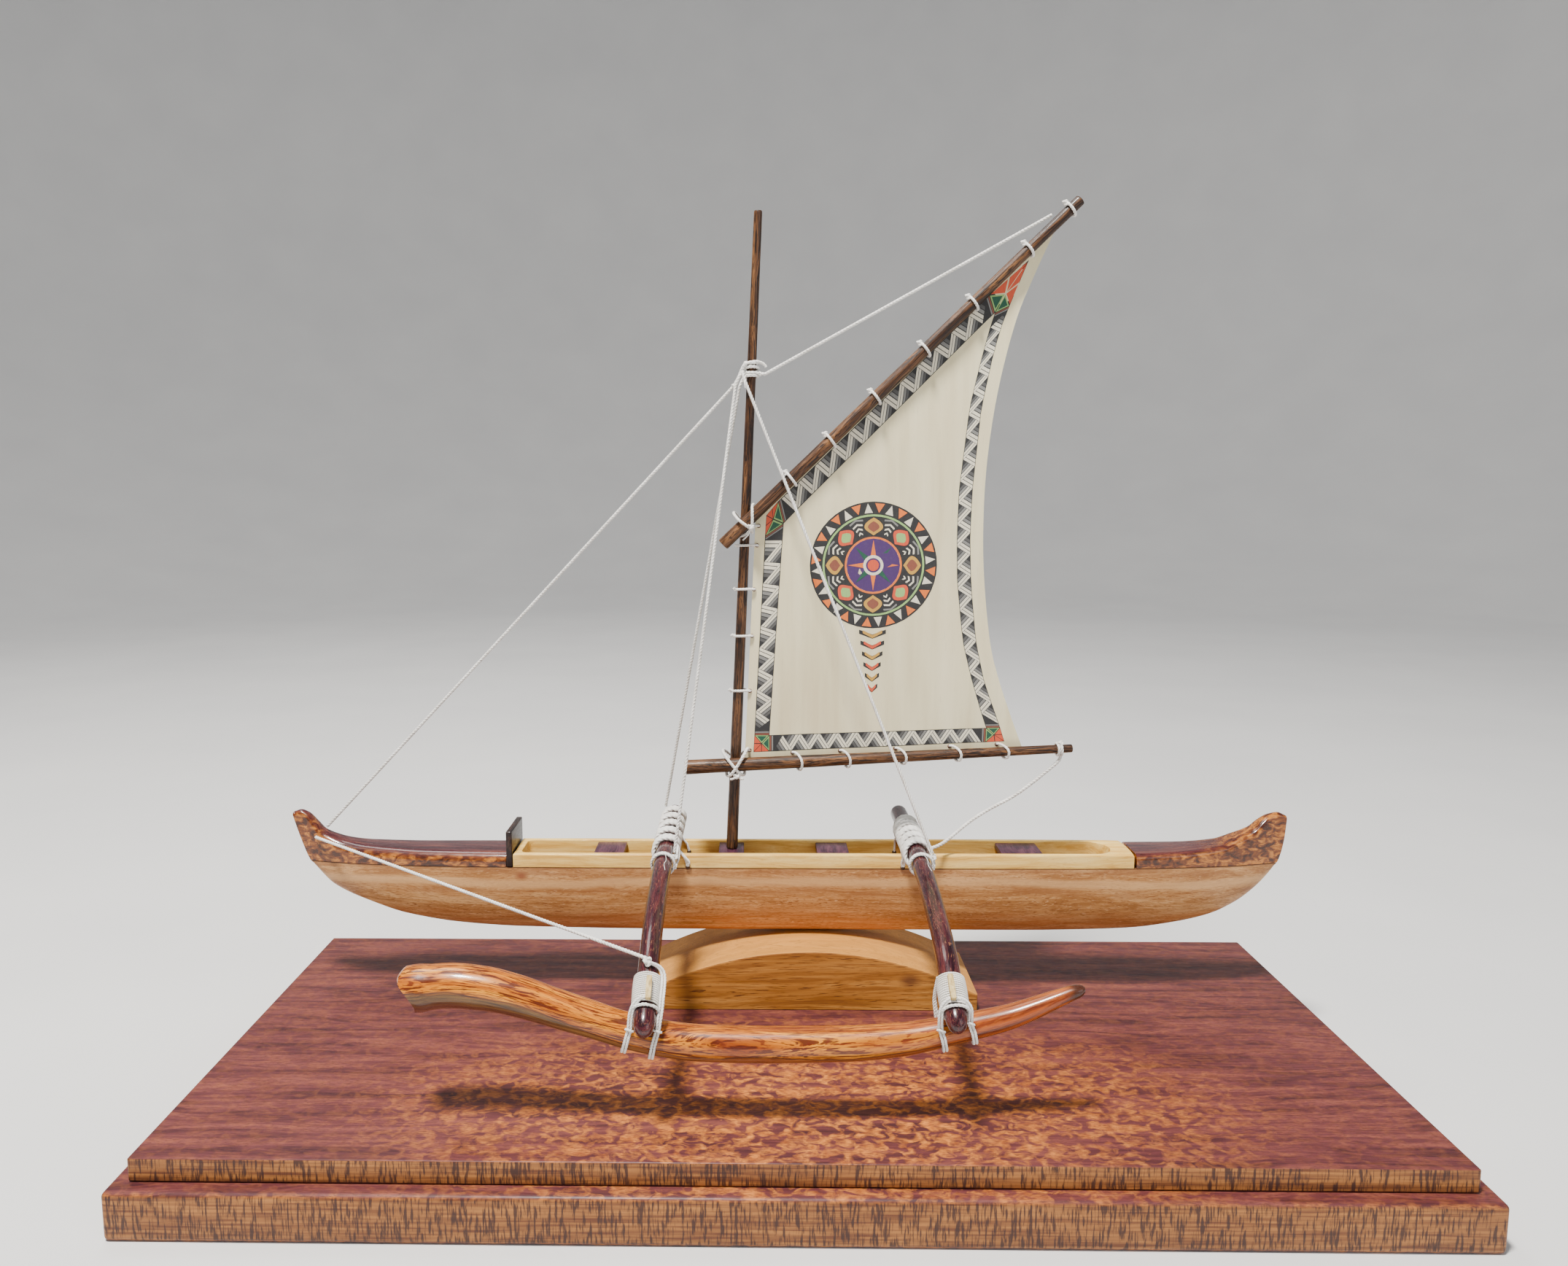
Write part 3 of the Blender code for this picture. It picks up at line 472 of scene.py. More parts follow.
def cotton(name, colour, shade, scale, bump):
    """White twisted cotton, a little dirty in places."""
    made, tree, shader = new_material(name, 0.85, sheen=0.25)
    at = node(tree, "TexCoord").outputs["Object"]
    stain = noise_at(tree, at, 130.0, 3.0)
    fuzz = noise_at(tree, at, scale, 3.0)
    tone = mix(tree, spread(tree, stain, 0.4, 0.75, 0.0, 0.7), colour, shade)
    tone = mix(tree, spread(tree, fuzz, 0.35, 0.6, 0.35, 0.0), tone, shade)
    dress(tree, shader, tone, spread(tree, fuzz, 0.3, 0.7, 0.95, 0.7), fuzz, bump, WOOD_RELIEF)
    return made


def weave_height(tree):
    """Height of a fine plain weave in the sail's plane, and a noise that varies it."""
    at = node(tree, "TexCoord").outputs["Object"]
    threads = []
    for way in ("X", "Z"):
        turn = times(tree, axis(tree, at, way), 2.0 * math.pi / WEAVE)
        threads.append(calc(tree, "SINE", turn))
    slub = noise_at(tree, at, (2400.0, 1.0, 160.0), 2.0)
    height = add(tree, times(tree, threads[0], threads[1]), times(tree, slub, 1.6))
    return at, height, slub


def sailcloth():
    made, tree, shader = new_material("sailcloth", 0.8, sheen=0.1)
    at, height, slub = weave_height(tree)
    bands = noise_at(tree, at, (110.0, 1.0, 9.0), 4.0)
    cloud = noise_at(tree, at, 28.0, 2.0)
    tone = ramp(tree, bands, [(0.3, (0.66, 0.58, 0.36)), (0.5, (0.76, 0.69, 0.45)),
                              (0.7, (0.83, 0.76, 0.52))])
    tone = mix(tree, spread(tree, cloud, 0.4, 0.75, 0.0, 0.35), tone, (0.74, 0.62, 0.39))
    tone = mix(tree, spread(tree, slub, 0.62, 0.75, 0.0, 0.35), tone, (0.50, 0.43, 0.30))
    dress(tree, shader, tone, spread(tree, slub, 0.3, 0.7, 0.88, 0.7), height, 0.18, CLOTH_RELIEF)
    return made


def paint():
    """Paint on the cloth. The point attribute "ink" holds its colour."""
    made, tree, shader = new_material("sail_paint", 0.6)
    at, height, slub = weave_height(tree)
    ink = node(tree, "Attribute", attribute_name="ink").outputs["Color"]
    worn = noise_at(tree, at, 900.0, 3.0)
    tone = mix(tree, spread(tree, worn, 0.5, 0.75, 0.0, 0.04), ink, (0.62, 0.56, 0.42))
    tone = mix(tree, spread(tree, slub, 0.35, 0.7, 0.0, 0.16), tone, (0.03, 0.03, 0.03))
    dress(tree, shader, tone, spread(tree, worn, 0.3, 0.7, 0.5, 0.75), height, 0.15, CLOTH_RELIEF)
    return made


def floor_paper():
    made, tree, shader = new_material("floor_paper", 0.8)
    at = node(tree, "TexCoord").outputs["Object"]
    cloud = noise_at(tree, at, 6.0, 3.0)
    tree.links.new(ramp(tree, cloud, [(0.3, (0.70, 0.70, 0.70)), (0.7, (0.74, 0.74, 0.735))]),
                   shader.inputs["Base Color"])
    return made


# Meshes

def add_piece(name, verts, faces, material, body, hides=(), sharp=40.0, grain=None,
              recalc=True):
    """A piece from points in millimetres. grain is a list of points or a function of a point."""
    mesh = bpy.data.meshes.new(name)
    mesh.from_pydata([tuple(float(c) * MM for c in v) for v in verts], [], faces)
    if recalc:
        bm = bmesh.new()
        bm.from_mesh(mesh)
        bmesh.ops.recalc_face_normals(bm, faces=bm.faces)
        bm.to_mesh(mesh)
        bm.free()
    return finish_piece(name, mesh, material, body, hides, sharp, grain)


def finish_piece(name, mesh, material, body, hides=(), sharp=40.0, grain=None):
    mesh.shade_smooth()
    mesh.set_sharp_from_angle(angle=math.radians(sharp))
    mesh.materials.clear()
    mesh.materials.append(material)
    if grain is not None:
        if callable(grain):
            grain = [grain(v.co / MM) for v in mesh.vertices]
        values = mesh.attributes.new("grain", "FLOAT_VECTOR", "POINT")
        values.data.foreach_set("vector", np.array(grain, np.float32).ravel())
    obj = bpy.data.objects.new(name, mesh)
    bpy.context.scene.collection.objects.link(obj)
    if body:
        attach(obj, body)
    if hides:
        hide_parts(*hides)
    return obj


def skin_faces(rows, count, closed=False, first=0, caps=True):
    faces = []
    for i in range(rows if closed else rows - 1):
        here, there = first + i * count, first + ((i + 1) % rows) * count
        for j in range(count):
            k = (j + 1) % count
            faces.append((here + j, here + k, there + k, there + j))
    if caps and not closed:
        faces.append(tuple(first + j for j in range(count)))
        faces.append(tuple(first + (rows - 1) * count + j for j in range(count)))
    return faces


STRAND = (0.0, 0.27, 1.0, 0.27)        # how deep each side of a three-strand rope lies


def rope_mesh(points, radius, closed=False, pitch=4.8, depth=0.34, first=0):
    """Points and faces of a three-strand twisted rope."""
    pts, length = resample(points, pitch / 10.0 if radius > 0.5 else 0.3, closed)
    _, sides, others = path_frames(pts, closed)
    turns = length / pitch
    if closed:
        turns = max(1.0, round(turns))
    count = 12
    deep = np.array([radius * (1.0 - depth * STRAND[j % 4]) for j in range(count)])
    share = np.arange(len(pts)) / (len(pts) if closed else len(pts) - 1)
    angle = 2.0 * math.pi * (turns * share[:, None] + np.arange(count)[None, :] / count)
    verts = (pts[:, None, :] + sides[:, None, :] * (np.cos(angle) * deep)[:, :, None]
             + others[:, None, :] * (np.sin(angle) * deep)[:, :, None])
    return verts.reshape(-1, 3), skin_faces(len(pts), count, closed, first)


def ropes(name, lines, material, body, hides=()):
    """One piece of several ropes. lines holds (points, radius, closed) rows."""
    verts, faces = [], []
    for points, radius, closed in lines:
        more, sides = rope_mesh(points, radius, closed, pitch=radius * 6.0, first=len(verts))
        verts.extend(more.tolist())
        faces.extend(sides)
    return add_piece(name, verts, faces, material, body, hides, 70.0)


def strand(points, radius, per_span=6, closed=False):
    """A row for ropes: a smooth line through points."""
    return smooth_path(points, per_span, closed), radius, closed


def tie(at, size, radius, turn, tilt):
    """A row for ropes: a small closed overhand knot."""
    spin = Matrix.Rotation(turn, 3, "Z") @ Matrix.Rotation(tilt, 3, "X")
    rows = []
    for a in round_angles(36):
        p = Vector((math.sin(a) + 2.0 * math.sin(2 * a), math.cos(a) - 2.0 * math.cos(2 * a),
                    -1.2 * math.sin(3 * a)))
        rows.append(Vector(at) + (spin @ p) * (size / 3.0))
    return rows, radius, True


def ring_path(centre, normal, radius, count=40, squash=1.0, up=(0.0, 0.0, 1.0)):
    n = Vector(normal).normalized()
    side = n.cross(Vector(up)).normalized()
    top = side.cross(n)
    return [Vector(centre) + side * math.cos(a) * radius + top * math.sin(a) * radius * squash
            for a in round_angles(count)]


def rod(name, points, radii, material, body, hides, sides=28, start=0.25, end=0.25, seed=0.0,
        wobble=0.012):
    """A natural round stick. start and end say how long its rounded ends are, in radii."""
    pts, length = resample(points, 1.6)
    ahead, side, other = path_frames(pts, up=(0.0, 1.0, 0.0))
    along = np.linspace(0.0, length, len(pts))
    radius = np.interp(along / length, [0.0, 1.0], radii)

    def cap(at, sign, long):
        """Rings out to an end: rounded where it is long, else sawn off with an eased rim."""
        if long > 0.4:
            steps = [(long * (1.0 - math.sin(a)), math.cos(a) ** 0.8)
                     for a in (math.pi / 2.0 * (k + 0.5) / 8.0 for k in range(8))]
        else:
            steps = [(long, 1.0), (long * 0.35, 0.96), (0.0, 0.84), (0.0, 0.35)]
        r = radius[at]
        return [(pts[at] - ahead[at] * sign * r * back, r * share, along[at] - sign * r * back, at)
                for back, share in steps]

    eased = radius[0] * start * 1.02 + 0.2, radius[-1] * end * 1.02 + 0.2
    middle = [(pts[i], radius[i], along[i], i) for i in range(len(pts))
              if along[i] >= eased[0] and length - along[i] >= eased[1]]
    rings = cap(0, -1.0, start)[::-1] + middle + cap(-1, 1.0, end)
    verts, grain = [], []
    for point, r, s, i in rings:
        for a in round_angles(sides):
            bump = 1.0 + wobble * (math.sin(s * 0.11 + 2 * a + seed) * 0.6
                                   + math.sin(s * 0.31 + 3 * a + seed * 2.3) * 0.4)
            q = r * bump
            verts.append(point + side[i] * math.cos(a) * q + other[i] * math.sin(a) * q)
            grain.append((s + seed * 37.0, r * math.cos(a) + seed * 5.0, r * math.sin(a)))
    return add_piece(name, verts, skin_faces(len(rings), sides), material, body, hides, 50.0, grain)


def board(name, low, high, edge, material, hides, swap=False, seed=0.0):
    """A board with its edges rounded. Its grain runs along X, or along Y with swap."""
    bm = bmesh.new()
    bmesh.ops.create_cube(bm, size=1.0)
    low, high = Vector(low), Vector(high)
    for v in bm.verts:
        v.co = Vector(((low[k] + high[k]) / 2.0 + v.co[k] * (high[k] - low[k])) * MM
                      for k in range(3))
    bmesh.ops.bevel(bm, geom=list(bm.edges), offset=edge * MM, segments=4, profile=0.5,
                    affect="EDGES")
    bmesh.ops.recalc_face_normals(bm, faces=bm.faces)
    mesh = bpy.data.meshes.new(name)
    bm.to_mesh(mesh)
    bm.free()

    def grain(p):
        if swap:
            return (p.y + seed, p.x, p.z)
        return (p.x + seed, p.y, p.z)

    return finish_piece(name, mesh, material, HULL, hides, 30.0, grain)


def skin(name, rings, material, body, hides, closed=False, sharp=40.0, seed=0.0):
    """A solid through rings of equally many points, its grain along X."""
    verts = [p for ring in rings for p in ring]
    faces = skin_faces(len(rings), len(rings[0]), closed)
    grain = [(p[0] + seed, p[1], p[2]) for p in verts]
    return add_piece(name, verts, faces, material, body, hides, sharp, grain)


# Camera and cords

def make_camera():
    data = bpy.data.cameras.new("camera")
    data.sensor_fit = "HORIZONTAL"
    data.sensor_width = SENSOR
    data.lens = FOCAL / WIDTH * SENSOR
    data.shift_x = (WIDTH / 2.0 - MIDDLE_PX) / WIDTH
    data.clip_start = 0.01
    data.clip_end = 20.0
    turn = Matrix.Rotation(YAW, 3, "Z")
    ahead = turn @ Vector((0.0, math.cos(PITCH), -math.sin(PITCH)))
    right = turn @ Vector((1.0, 0.0, 0.0))
    up = right.cross(ahead)
    r2 = right * math.cos(ROLL) + up * math.sin(ROLL)
    u2 = up * math.cos(ROLL) - right * math.sin(ROLL)
    camera = bpy.data.objects.new("camera", data)
    bpy.context.scene.collection.objects.link(camera)
    turned = Matrix((r2, u2, -ahead)).transposed().to_4x4()
    turned.translation = Vector(CAMERA_AT) * MM
    camera.matrix_world = turned
    bpy.context.scene.camera = camera


def make_sheet_line(material):
    """The slack line from the boom's end to the aft crossbeam's winding."""
    path = smooth_path(SHEET_POINTS, 3)
    verts, faces = rope_mesh(path, 0.9, pitch=4.8)
    line = add_piece("sheet_rope", verts, faces, material, None, ("sheet_line",), 70.0)
    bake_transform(line)


def beam_height(side, y):
    rows = sorted(beam_rows(side))
    z = curve_through(rows, y)
    along = Vector((0.0, -1.0, -(z - curve_through(rows, y - 1.0)))).normalized()
    return z, along


def beam_rows(side):
    rows = []
    for y, z in BEAM_LINE:
        share = min(max((-30.0 - y) / 45.0, 0.0), 1.0)
        rows.append((y, z + BEAM_END_LIFT[side] * share * share * (3.0 - 2.0 * share)))
    return rows


def mast_at(z):
    """The mast's x and radius at a height."""
    share = (z - MAST_FOOT_Z) / (MAST_TOP_Z - MAST_FOOT_Z)
    foot, top = MAST_RADII
    return MAST_FOOT_X + MAST_RAKE * (z - MAST_FOOT_Z), foot + (top - foot) * share


def mast_ring(z, lift=0.0, rope=0.8, rise=0.0):
    x, r = mast_at(z)
    reach = r + GAP * 0.5 + rope + lift
    return [(x + reach * math.cos(a), HULL_Y + reach * math.sin(a), z + rise * math.sin(a))
            for a in round_angles(32)]


def make_lines(cord):
    """Standing lines and the cord round the masthead."""
    ropes("masthead_ring", [
        (mast_ring(331.3, rise=0.25), 0.85, True),
        strand([(-17.4, 46.0, 331.2), (-14.6, 46.3, 331.6), (-12.3, 46.9, 331.2),
                (-10.6, 47.2, 330.2), (-9.8, 47.2, 329.0)], 0.75),
        strand([(-18.2, 45.9, 331.0), (-20.1, 46.2, 329.8), (-21.2, 46.6, 327.6),
                (-22.3, 46.9, 325.0), (-23.6, 47.2, 322.4), (-24.4, 47.5, 320.6)], LINE),
        (mast_ring(328.9, rise=-0.35), LINE, True),
        tie((-24.4, 47.3, 320.6), 1.0, 0.6, 0.3, 0.9)], cord, HULL, ("stay_collar",))
    ring_top = beam_height("aft", SHROUD_RING_Y)[0] + 5.0
    loose_end = strand([(-20.0, 43.8, 323.4), (-19.6, 42.2, 321.4), (-19.4, 41.9, 319.2)], 0.4)
    # Columns: piece, solid, points by the masthead, lower end, what else belongs to it
    for name, solid, head, low, more in (
            ("forestay_rope", "forestay",
             [(-20.6, 48.6, 326.4), (-22.6, 48.2, 324.2), (-24.8, 48.0, 320.6)],
             (-226.0, HULL_Y, 108.4), []),
            ("port_forward_rope", "port_forward_shroud",
             [(-20.3, 45.4, 327.2), (-22.2, 45.3, 324.4), (-24.0, 45.6, 320.2)],
             (-52.0, 12.6, ring_top), []),
            ("starboard_forward_rope", "starboard_forward_shroud",
             [(-17.6, 53.4, 327.0), (-20.4, 53.4, 324.4), (-22.2, 53.4, 320.6)],
             (-61.4, 84.0, 109.2), []),
            ("port_aft_rope", "port_aft_shroud",
             [(-20.4, 44.4, 327.0), (-20.2, 43.8, 324.8), (-19.2, 43.2, 321.6)],
             (66.0, 12.6, ring_top), [loose_end])):
        line = smooth_path(head).tolist() + [low]
        ropes(name, [(line, LINE, False)] + more, cord, HULL, (solid,))
    ropes("bow_line_rope", [([(-229.8, 43.5, 104.6), (-57.5, -65.6, 90.2)], LINE, False)],
          cord, HULL, ("bow_float_line",))
    peak = smooth_path([(-12.8, 46.9, 326.2), (-11.4, 45.6, 325.9), (-10.3, 45.4, 325.7)]).tolist()
    ropes("peak_rope", [
        (mast_ring(326.7, rise=0.2), LINE, True), (mast_ring(325.1, rise=-0.2), LINE, True),
        (peak + [(119.8, SPAR_Y + 3.2, 396.0)], LINE, False),
        tie((-12.6, 46.6, 326.0), 1.0, 0.6, 0.8, 0.4)], cord, RIG, ("peak_line",))


# Hull and plinth

def half_beam(x):
    taper = 1.0 - min(abs(x) / HALF_LENGTH, 1.0) ** 6.0
    return max(TIP_HALF_BEAM, HALF_BEAM * taper ** 0.87)


def stations(first, last, count, crowd):
    out = []
    for k in range(count):
        t = k / (count - 1)
        out.append(first + (last - first) * (t - crowd * math.sin(2 * math.pi * t) / (2 * math.pi)))
    return out


def cockpit_outline(inset=0.0, shrink=1.0, fine=1):
    inner = HALF_BEAM - RAIL_WIDTH - inset
    corner = 3.0
    front, back = COCKPIT_FRONT + inset, COCKPIT_BACK - inset
    arc_x = back - inner
    points = []
    for k in range(4 * fine + 1):
        a = math.pi + math.pi / 2.0 * k / (4.0 * fine)
        points.append((front + corner * (1 + math.cos(a)), -inner + corner * (1 + math.sin(a))))
    runs = np.linspace(-118.0, 140.0, 12 * fine)
    points += [(x, -inner) for x in runs]
    for k in range(12 * fine + 1):
        a = -math.pi / 2.0 + math.pi * k / (12.0 * fine)
        points.append((arc_x + inner * math.cos(a), inner * math.sin(a)))
    points += [(x, inner) for x in reversed(runs)]
    for k in range(4 * fine + 1):
        a = math.pi / 2.0 + math.pi / 2.0 * k / (4.0 * fine)
        points.append((front + corner * (1 + math.cos(a)), inner - corner * (1 - math.sin(a))))
    return [(x, y * shrink) for x, y in points]


def make_hull(material):
    rings = []
    for x in stations(HULL_FRONT, HULL_BACK, 101, 0.75):
        width, keel = half_beam(x), curve_through(KEEL, x)
        ring = []
        for k in range(41):
            a = math.pi * k / 40
            across = abs(math.cos(a)) ** 0.77
            ring.append((x, HULL_Y - math.copysign(across, math.cos(a)) * width,
                         SEAM_Z - (SEAM_Z - keel) * math.sin(a)))
        rings.append(ring)
    verts = [p for ring in rings for p in ring]
    hull = add_piece("hull_skin", verts, skin_faces(len(rings), 41), material, None)
    levels = [(COCKPIT_FLOOR, 6.0, 0.55), (COCKPIT_FLOOR + 2.0, 4.0, 0.74),
              (COCKPIT_FLOOR + 5.0, 2.5, 0.86), (COCKPIT_FLOOR + 9.0, 1.3, 0.95),
              (COCKPIT_FLOOR + 14.0, 0.6, 1.0), (SEAM_Z + 2.0, 0.6, 1.0)]
    rings = [[(x, HULL_Y + y, z) for x, y in cockpit_outline(inset, share, 2)]
             for z, inset, share in levels]
    cutter = add_piece("cutter", [p for ring in rings for p in ring],
                       skin_faces(len(rings), len(rings[0])), material, None)
    cut = hull.modifiers.new("cockpit", "BOOLEAN")
    cut.operation = "DIFFERENCE"
    cut.solver = "EXACT"
    cut.object = cutter
    bpy.context.view_layer.update()
    shaped = bpy.data.meshes.new_from_object(hull.evaluated_get(
        bpy.context.evaluated_depsgraph_get()))
    for spare in (hull, cutter):
        bpy.data.objects.remove(spare, do_unlink=True)
    finish_piece("hull_shell", shaped, material, HULL, ("hull",), 38.0, lambda p: (p.x, p.y, p.z))


def make_coaming(material):
    span = COCKPIT_BACK - COCKPIT_FRONT
    rings = []
    for ix, iy in cockpit_outline(fine=3):
        share = (ix - COCKPIT_FRONT) / span
        ox = COAMING_FRONT + (COAMING_BACK - COAMING_FRONT) * share
        square = max(-1.0, min(1.0, iy / 4.0))
        oy = square * half_beam(ox)
        reach = math.hypot(ox - ix, oy - iy)
        low, high, ease = SEAM_Z + GAP, RAIL_Z, 1.0
        section = [(0.0, low)]
        for k in range(6):
            a = math.pi / 2.0 * k / 5.0
            section.append((ease * (1.0 - math.cos(a)) / reach, high - ease * (1.0 - math.sin(a))))
        for k in range(4):
            a = math.pi / 2.0 * (1.0 - k / 3.0)
            section.append((1.0 - 0.5 * (1.0 - math.cos(a)) / reach,
                            high - 0.5 * (1.0 - math.sin(a))))
        section.append((1.0, low))
        rings.append([(ox + (ix - ox) * s, HULL_Y + oy + (iy - oy) * s, z) for s, z in section])
    skin("coaming_rail", rings, material, HULL, ("coaming",), closed=True, sharp=32.0)


def make_deck(name, table, round_over, material, node_name):
    rings = []
    for x in stations(table[0][0], table[-1][0], 90, 0.55):
        top = curve_through(table, x)
        width = half_beam(x)
        low = max(SEAM_Z + GAP, curve_through(KEEL, x))
        radius = min(round_over, width * 0.9, (top - low) * 0.8)
        ring = [(x, HULL_Y - width, low)]
        for side in (-1, 1):
            angles = [math.pi / 2.0 * k / 8.0 for k in range(9)]
            if side > 0:
                angles.reverse()
            for a in angles:
                ring.append((x, HULL_Y + side * (width - radius * (1.0 - math.cos(a))),
                             top - radius * (1.0 - math.sin(a))))
        ring.append((x, HULL_Y + width, low))
        rings.append(ring)
    skin(name, rings, material, HULL, (node_name,), sharp=45.0)


def make_stand(material):
    low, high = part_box("stand")
    x0, x1, y0, y1 = low[0] / MM, high[0] / MM, low[1] / MM, high[1] / MM
    foot, top, radius = 28.8, 57.1, 162.0
    mid, half = (x0 + x1) / 2.0, (x1 - x0) / 2.0
    outline = [(x0, foot), (x1, foot)]
    for k in range(49):
        x = 2.0 * half * (0.5 - k / 48)
        outline.append((mid + x, top - (radius - math.sqrt(radius ** 2 - x * x))))
    ease = 0.7
    rings = []
    for y, pull in ((y0, ease), (y0 + ease * 0.3, ease * 0.3), (y0 + ease, 0.0),
                    (y1 - ease, 0.0), (y1 - ease * 0.3, ease * 0.3), (y1, ease)):
        ring = []
        for x, z in outline:
            ring.append((mid + (x - mid) * (1.0 - pull / half), y,
                         max(z - (pull if z > foot else 0.0), foot)))
        rings.append(ring)
    skin("stand_block", rings, material, HULL, ("stand",), sharp=15.0)


def make_float(material):
    count = 40
    verts, grain = [], []

    def circle(x, z, r):
        """Points of an upright ring."""
        return [(x, FLOAT_Y + r * math.sin(a), z + r * math.cos(a))
                for a in round_angles(count)]

    def rim(share):
        """The hollow face of the bow end, or a smaller ring on it."""
        out = []
        for a in round_angles(count):
            z, across = 80.9 + 8.7 * share * math.cos(a), share * math.sin(a)
            x = curve_through(FLOAT_END, z) + 2.8 * across * across
            out.append((x, FLOAT_Y + 8.5 * across, z))
        return out

    rings = [rim(share) for share in (0.12, 0.4, 0.7, 0.9, 0.965)]
    first, last = rim(1.0), circle(-136.0, curve_through(FLOAT_HEIGHT, -136.0),
                                   curve_through(FLOAT_RADIUS, -136.0))
    for t in (0.0, 0.08, 0.2, 0.35, 0.5, 0.65, 0.8):
        swelled = 1.0 + 0.045 * math.sin(math.pi * min(t * 1.6, 1.0))
        ring = []
        for p, q in zip(first, last):
            x, y, z = (p[k] + (q[k] - p[k]) * t for k in range(3))
            ring.append((x, FLOAT_Y + (y - FLOAT_Y) * swelled, 80.9 + (z - 80.9) * swelled))
        rings.append(ring)
    for x in list(np.linspace(-136.0, 104.0, 92)) + [105.5, 107.0, 108.3, 109.4, 110.2, 110.8,
                                                     111.1]:
        rings.append(circle(x, curve_through(FLOAT_HEIGHT, x),
                            curve_through(FLOAT_RADIUS, min(x, 111.0))))
    rings.append(circle(111.3, curve_through(FLOAT_HEIGHT, 111.0), 0.5))
    for ring in rings:
        middle = sum(p[2] for p in ring) / count
        for x, y, z in ring:
            verts.append((x, y, z))
            grain.append((x, y - FLOAT_Y, z - middle))
    add_piece("float_log", verts, skin_faces(len(rings), count), material, HULL, ("ama",), 42.0,
              grain)


def make_woods(m):
    board("plinth_lower", (-254.0, -111.0, 0.0), (254.0, 111.0, 19.0), 2.0, m["walnut"],
          ("base_lower_board",))
    board("plinth_upper", (-247.0, -104.0, 19.3), (247.0, 104.0, 28.5), 0.7, m["walnut"],
          ("base_upper_board",), seed=3.0)
    make_stand(m["pine"])
    make_hull(m["hull"])
    make_coaming(m["rail"])
    make_deck("fore_deck_piece", FORE_DECK_TOP, 4.5, m["deck"], "fore_deck")
    make_deck("aft_deck_piece", AFT_DECK_TOP, 3.0, m["deck"], "aft_deck")
    board("splash_piece", (-134.9, 36.0, 92.3), (-132.0, 62.0, 109.8), 0.5, m["splash"],
          ("splash_board",), swap=True)
    reach = HALF_BEAM - RAIL_WIDTH - GAP
    for k, (name, x0, x1, z0) in enumerate((("thwart_forward", -93.3, -78.8, 95.2),
                                            ("thwart_middle", 15.2, 30.6, 95.2),
                                            ("thwart_aft", 104.2, 124.0, 95.2),
                                            ("mast_step", -32.6, -20.4, 93.6))):
        board(name + "_board", (x0, HULL_Y - reach, z0), (x1, HULL_Y + reach, 98.0), 0.4,
              m["thwart"], (name,), swap=True, seed=40.0 * k)
    rod("mast_pole", [(mast_at(z)[0], HULL_Y, z) for z in (MAST_FOOT_Z, MAST_TOP_Z)], MAST_RADII,
        m["spar"], HULL, ("mast",), start=0.2, end=0.4, seed=1.0)
    for k, (name, (front, back, radii), y) in enumerate((("boom", BOOM, BOOM_Y),
                                                         ("spar", SPAR, SPAR_Y))):
        rod(name + "_pole", [(front[0], y, front[1]), (back[0], y, back[1])], radii, m["spar"], RIG,
            (name,), seed=2.0 + k)
    for k, side in enumerate(("forward", "aft")):
        rows = beam_rows(side)
        rows = rows + [(rows[-1][0] - 2.4, rows[-1][1] - 1.55)]
        path = [(BEAM_X[side], y, z) for y, z in rows[:2]]
        path += [(BEAM_X[side], p[0], p[1]) for p in smooth_path([(y, z, 0.0) for y, z in rows[2:]],
                                                                 8)]
        rod(side + "_iako_pole", path, (BEAM_RADIUS, BEAM_RADIUS), m["beam"], HULL,
            (side + "_iako",), start=0.35, end=1.7, seed=5.0 + k, sides=32, wobble=0.008)
    make_float(m["float"])


# What ties the crossbeams down and holds the float

def wind_beam(side, cord):
    """Three strands of cord wound side by side round a crossbeam over the hull."""
    x = BEAM_X[side]
    radius, spacing, half_turn = 1.1, 2.1, 14
    reach = BEAM_RADIUS + GAP + radius
    ways = [WINDING_UNDER[side][0]]
    for top, under in zip(WINDING_TOPS[side], WINDING_UNDER[side][1:]):
        ways += [top, under]
    lines = []
    for number in (-1, 0, 1):
        winding = []
        for k in range((len(ways) - 1) * half_turn + 1):
            turn, t = divmod(k, half_turn)
            t /= half_turn
            here, there = ways[turn], ways[min(turn + 1, len(ways) - 1)]
            y = here + (there - here) * (t * t * (3.0 - 2.0 * t)) + number * spacing
            a = math.pi * (k / half_turn - 0.5)
            z = beam_height(side, min(y, BEAM_LINE[0][0] - 1.0))[0]
            winding.append((x + reach * math.cos(a), y, z + reach * math.sin(a)))
        lines.append((winding, radius, False))
    ropes(side + "_winding", lines, cord, HULL, (side + "_iako_lashing",))


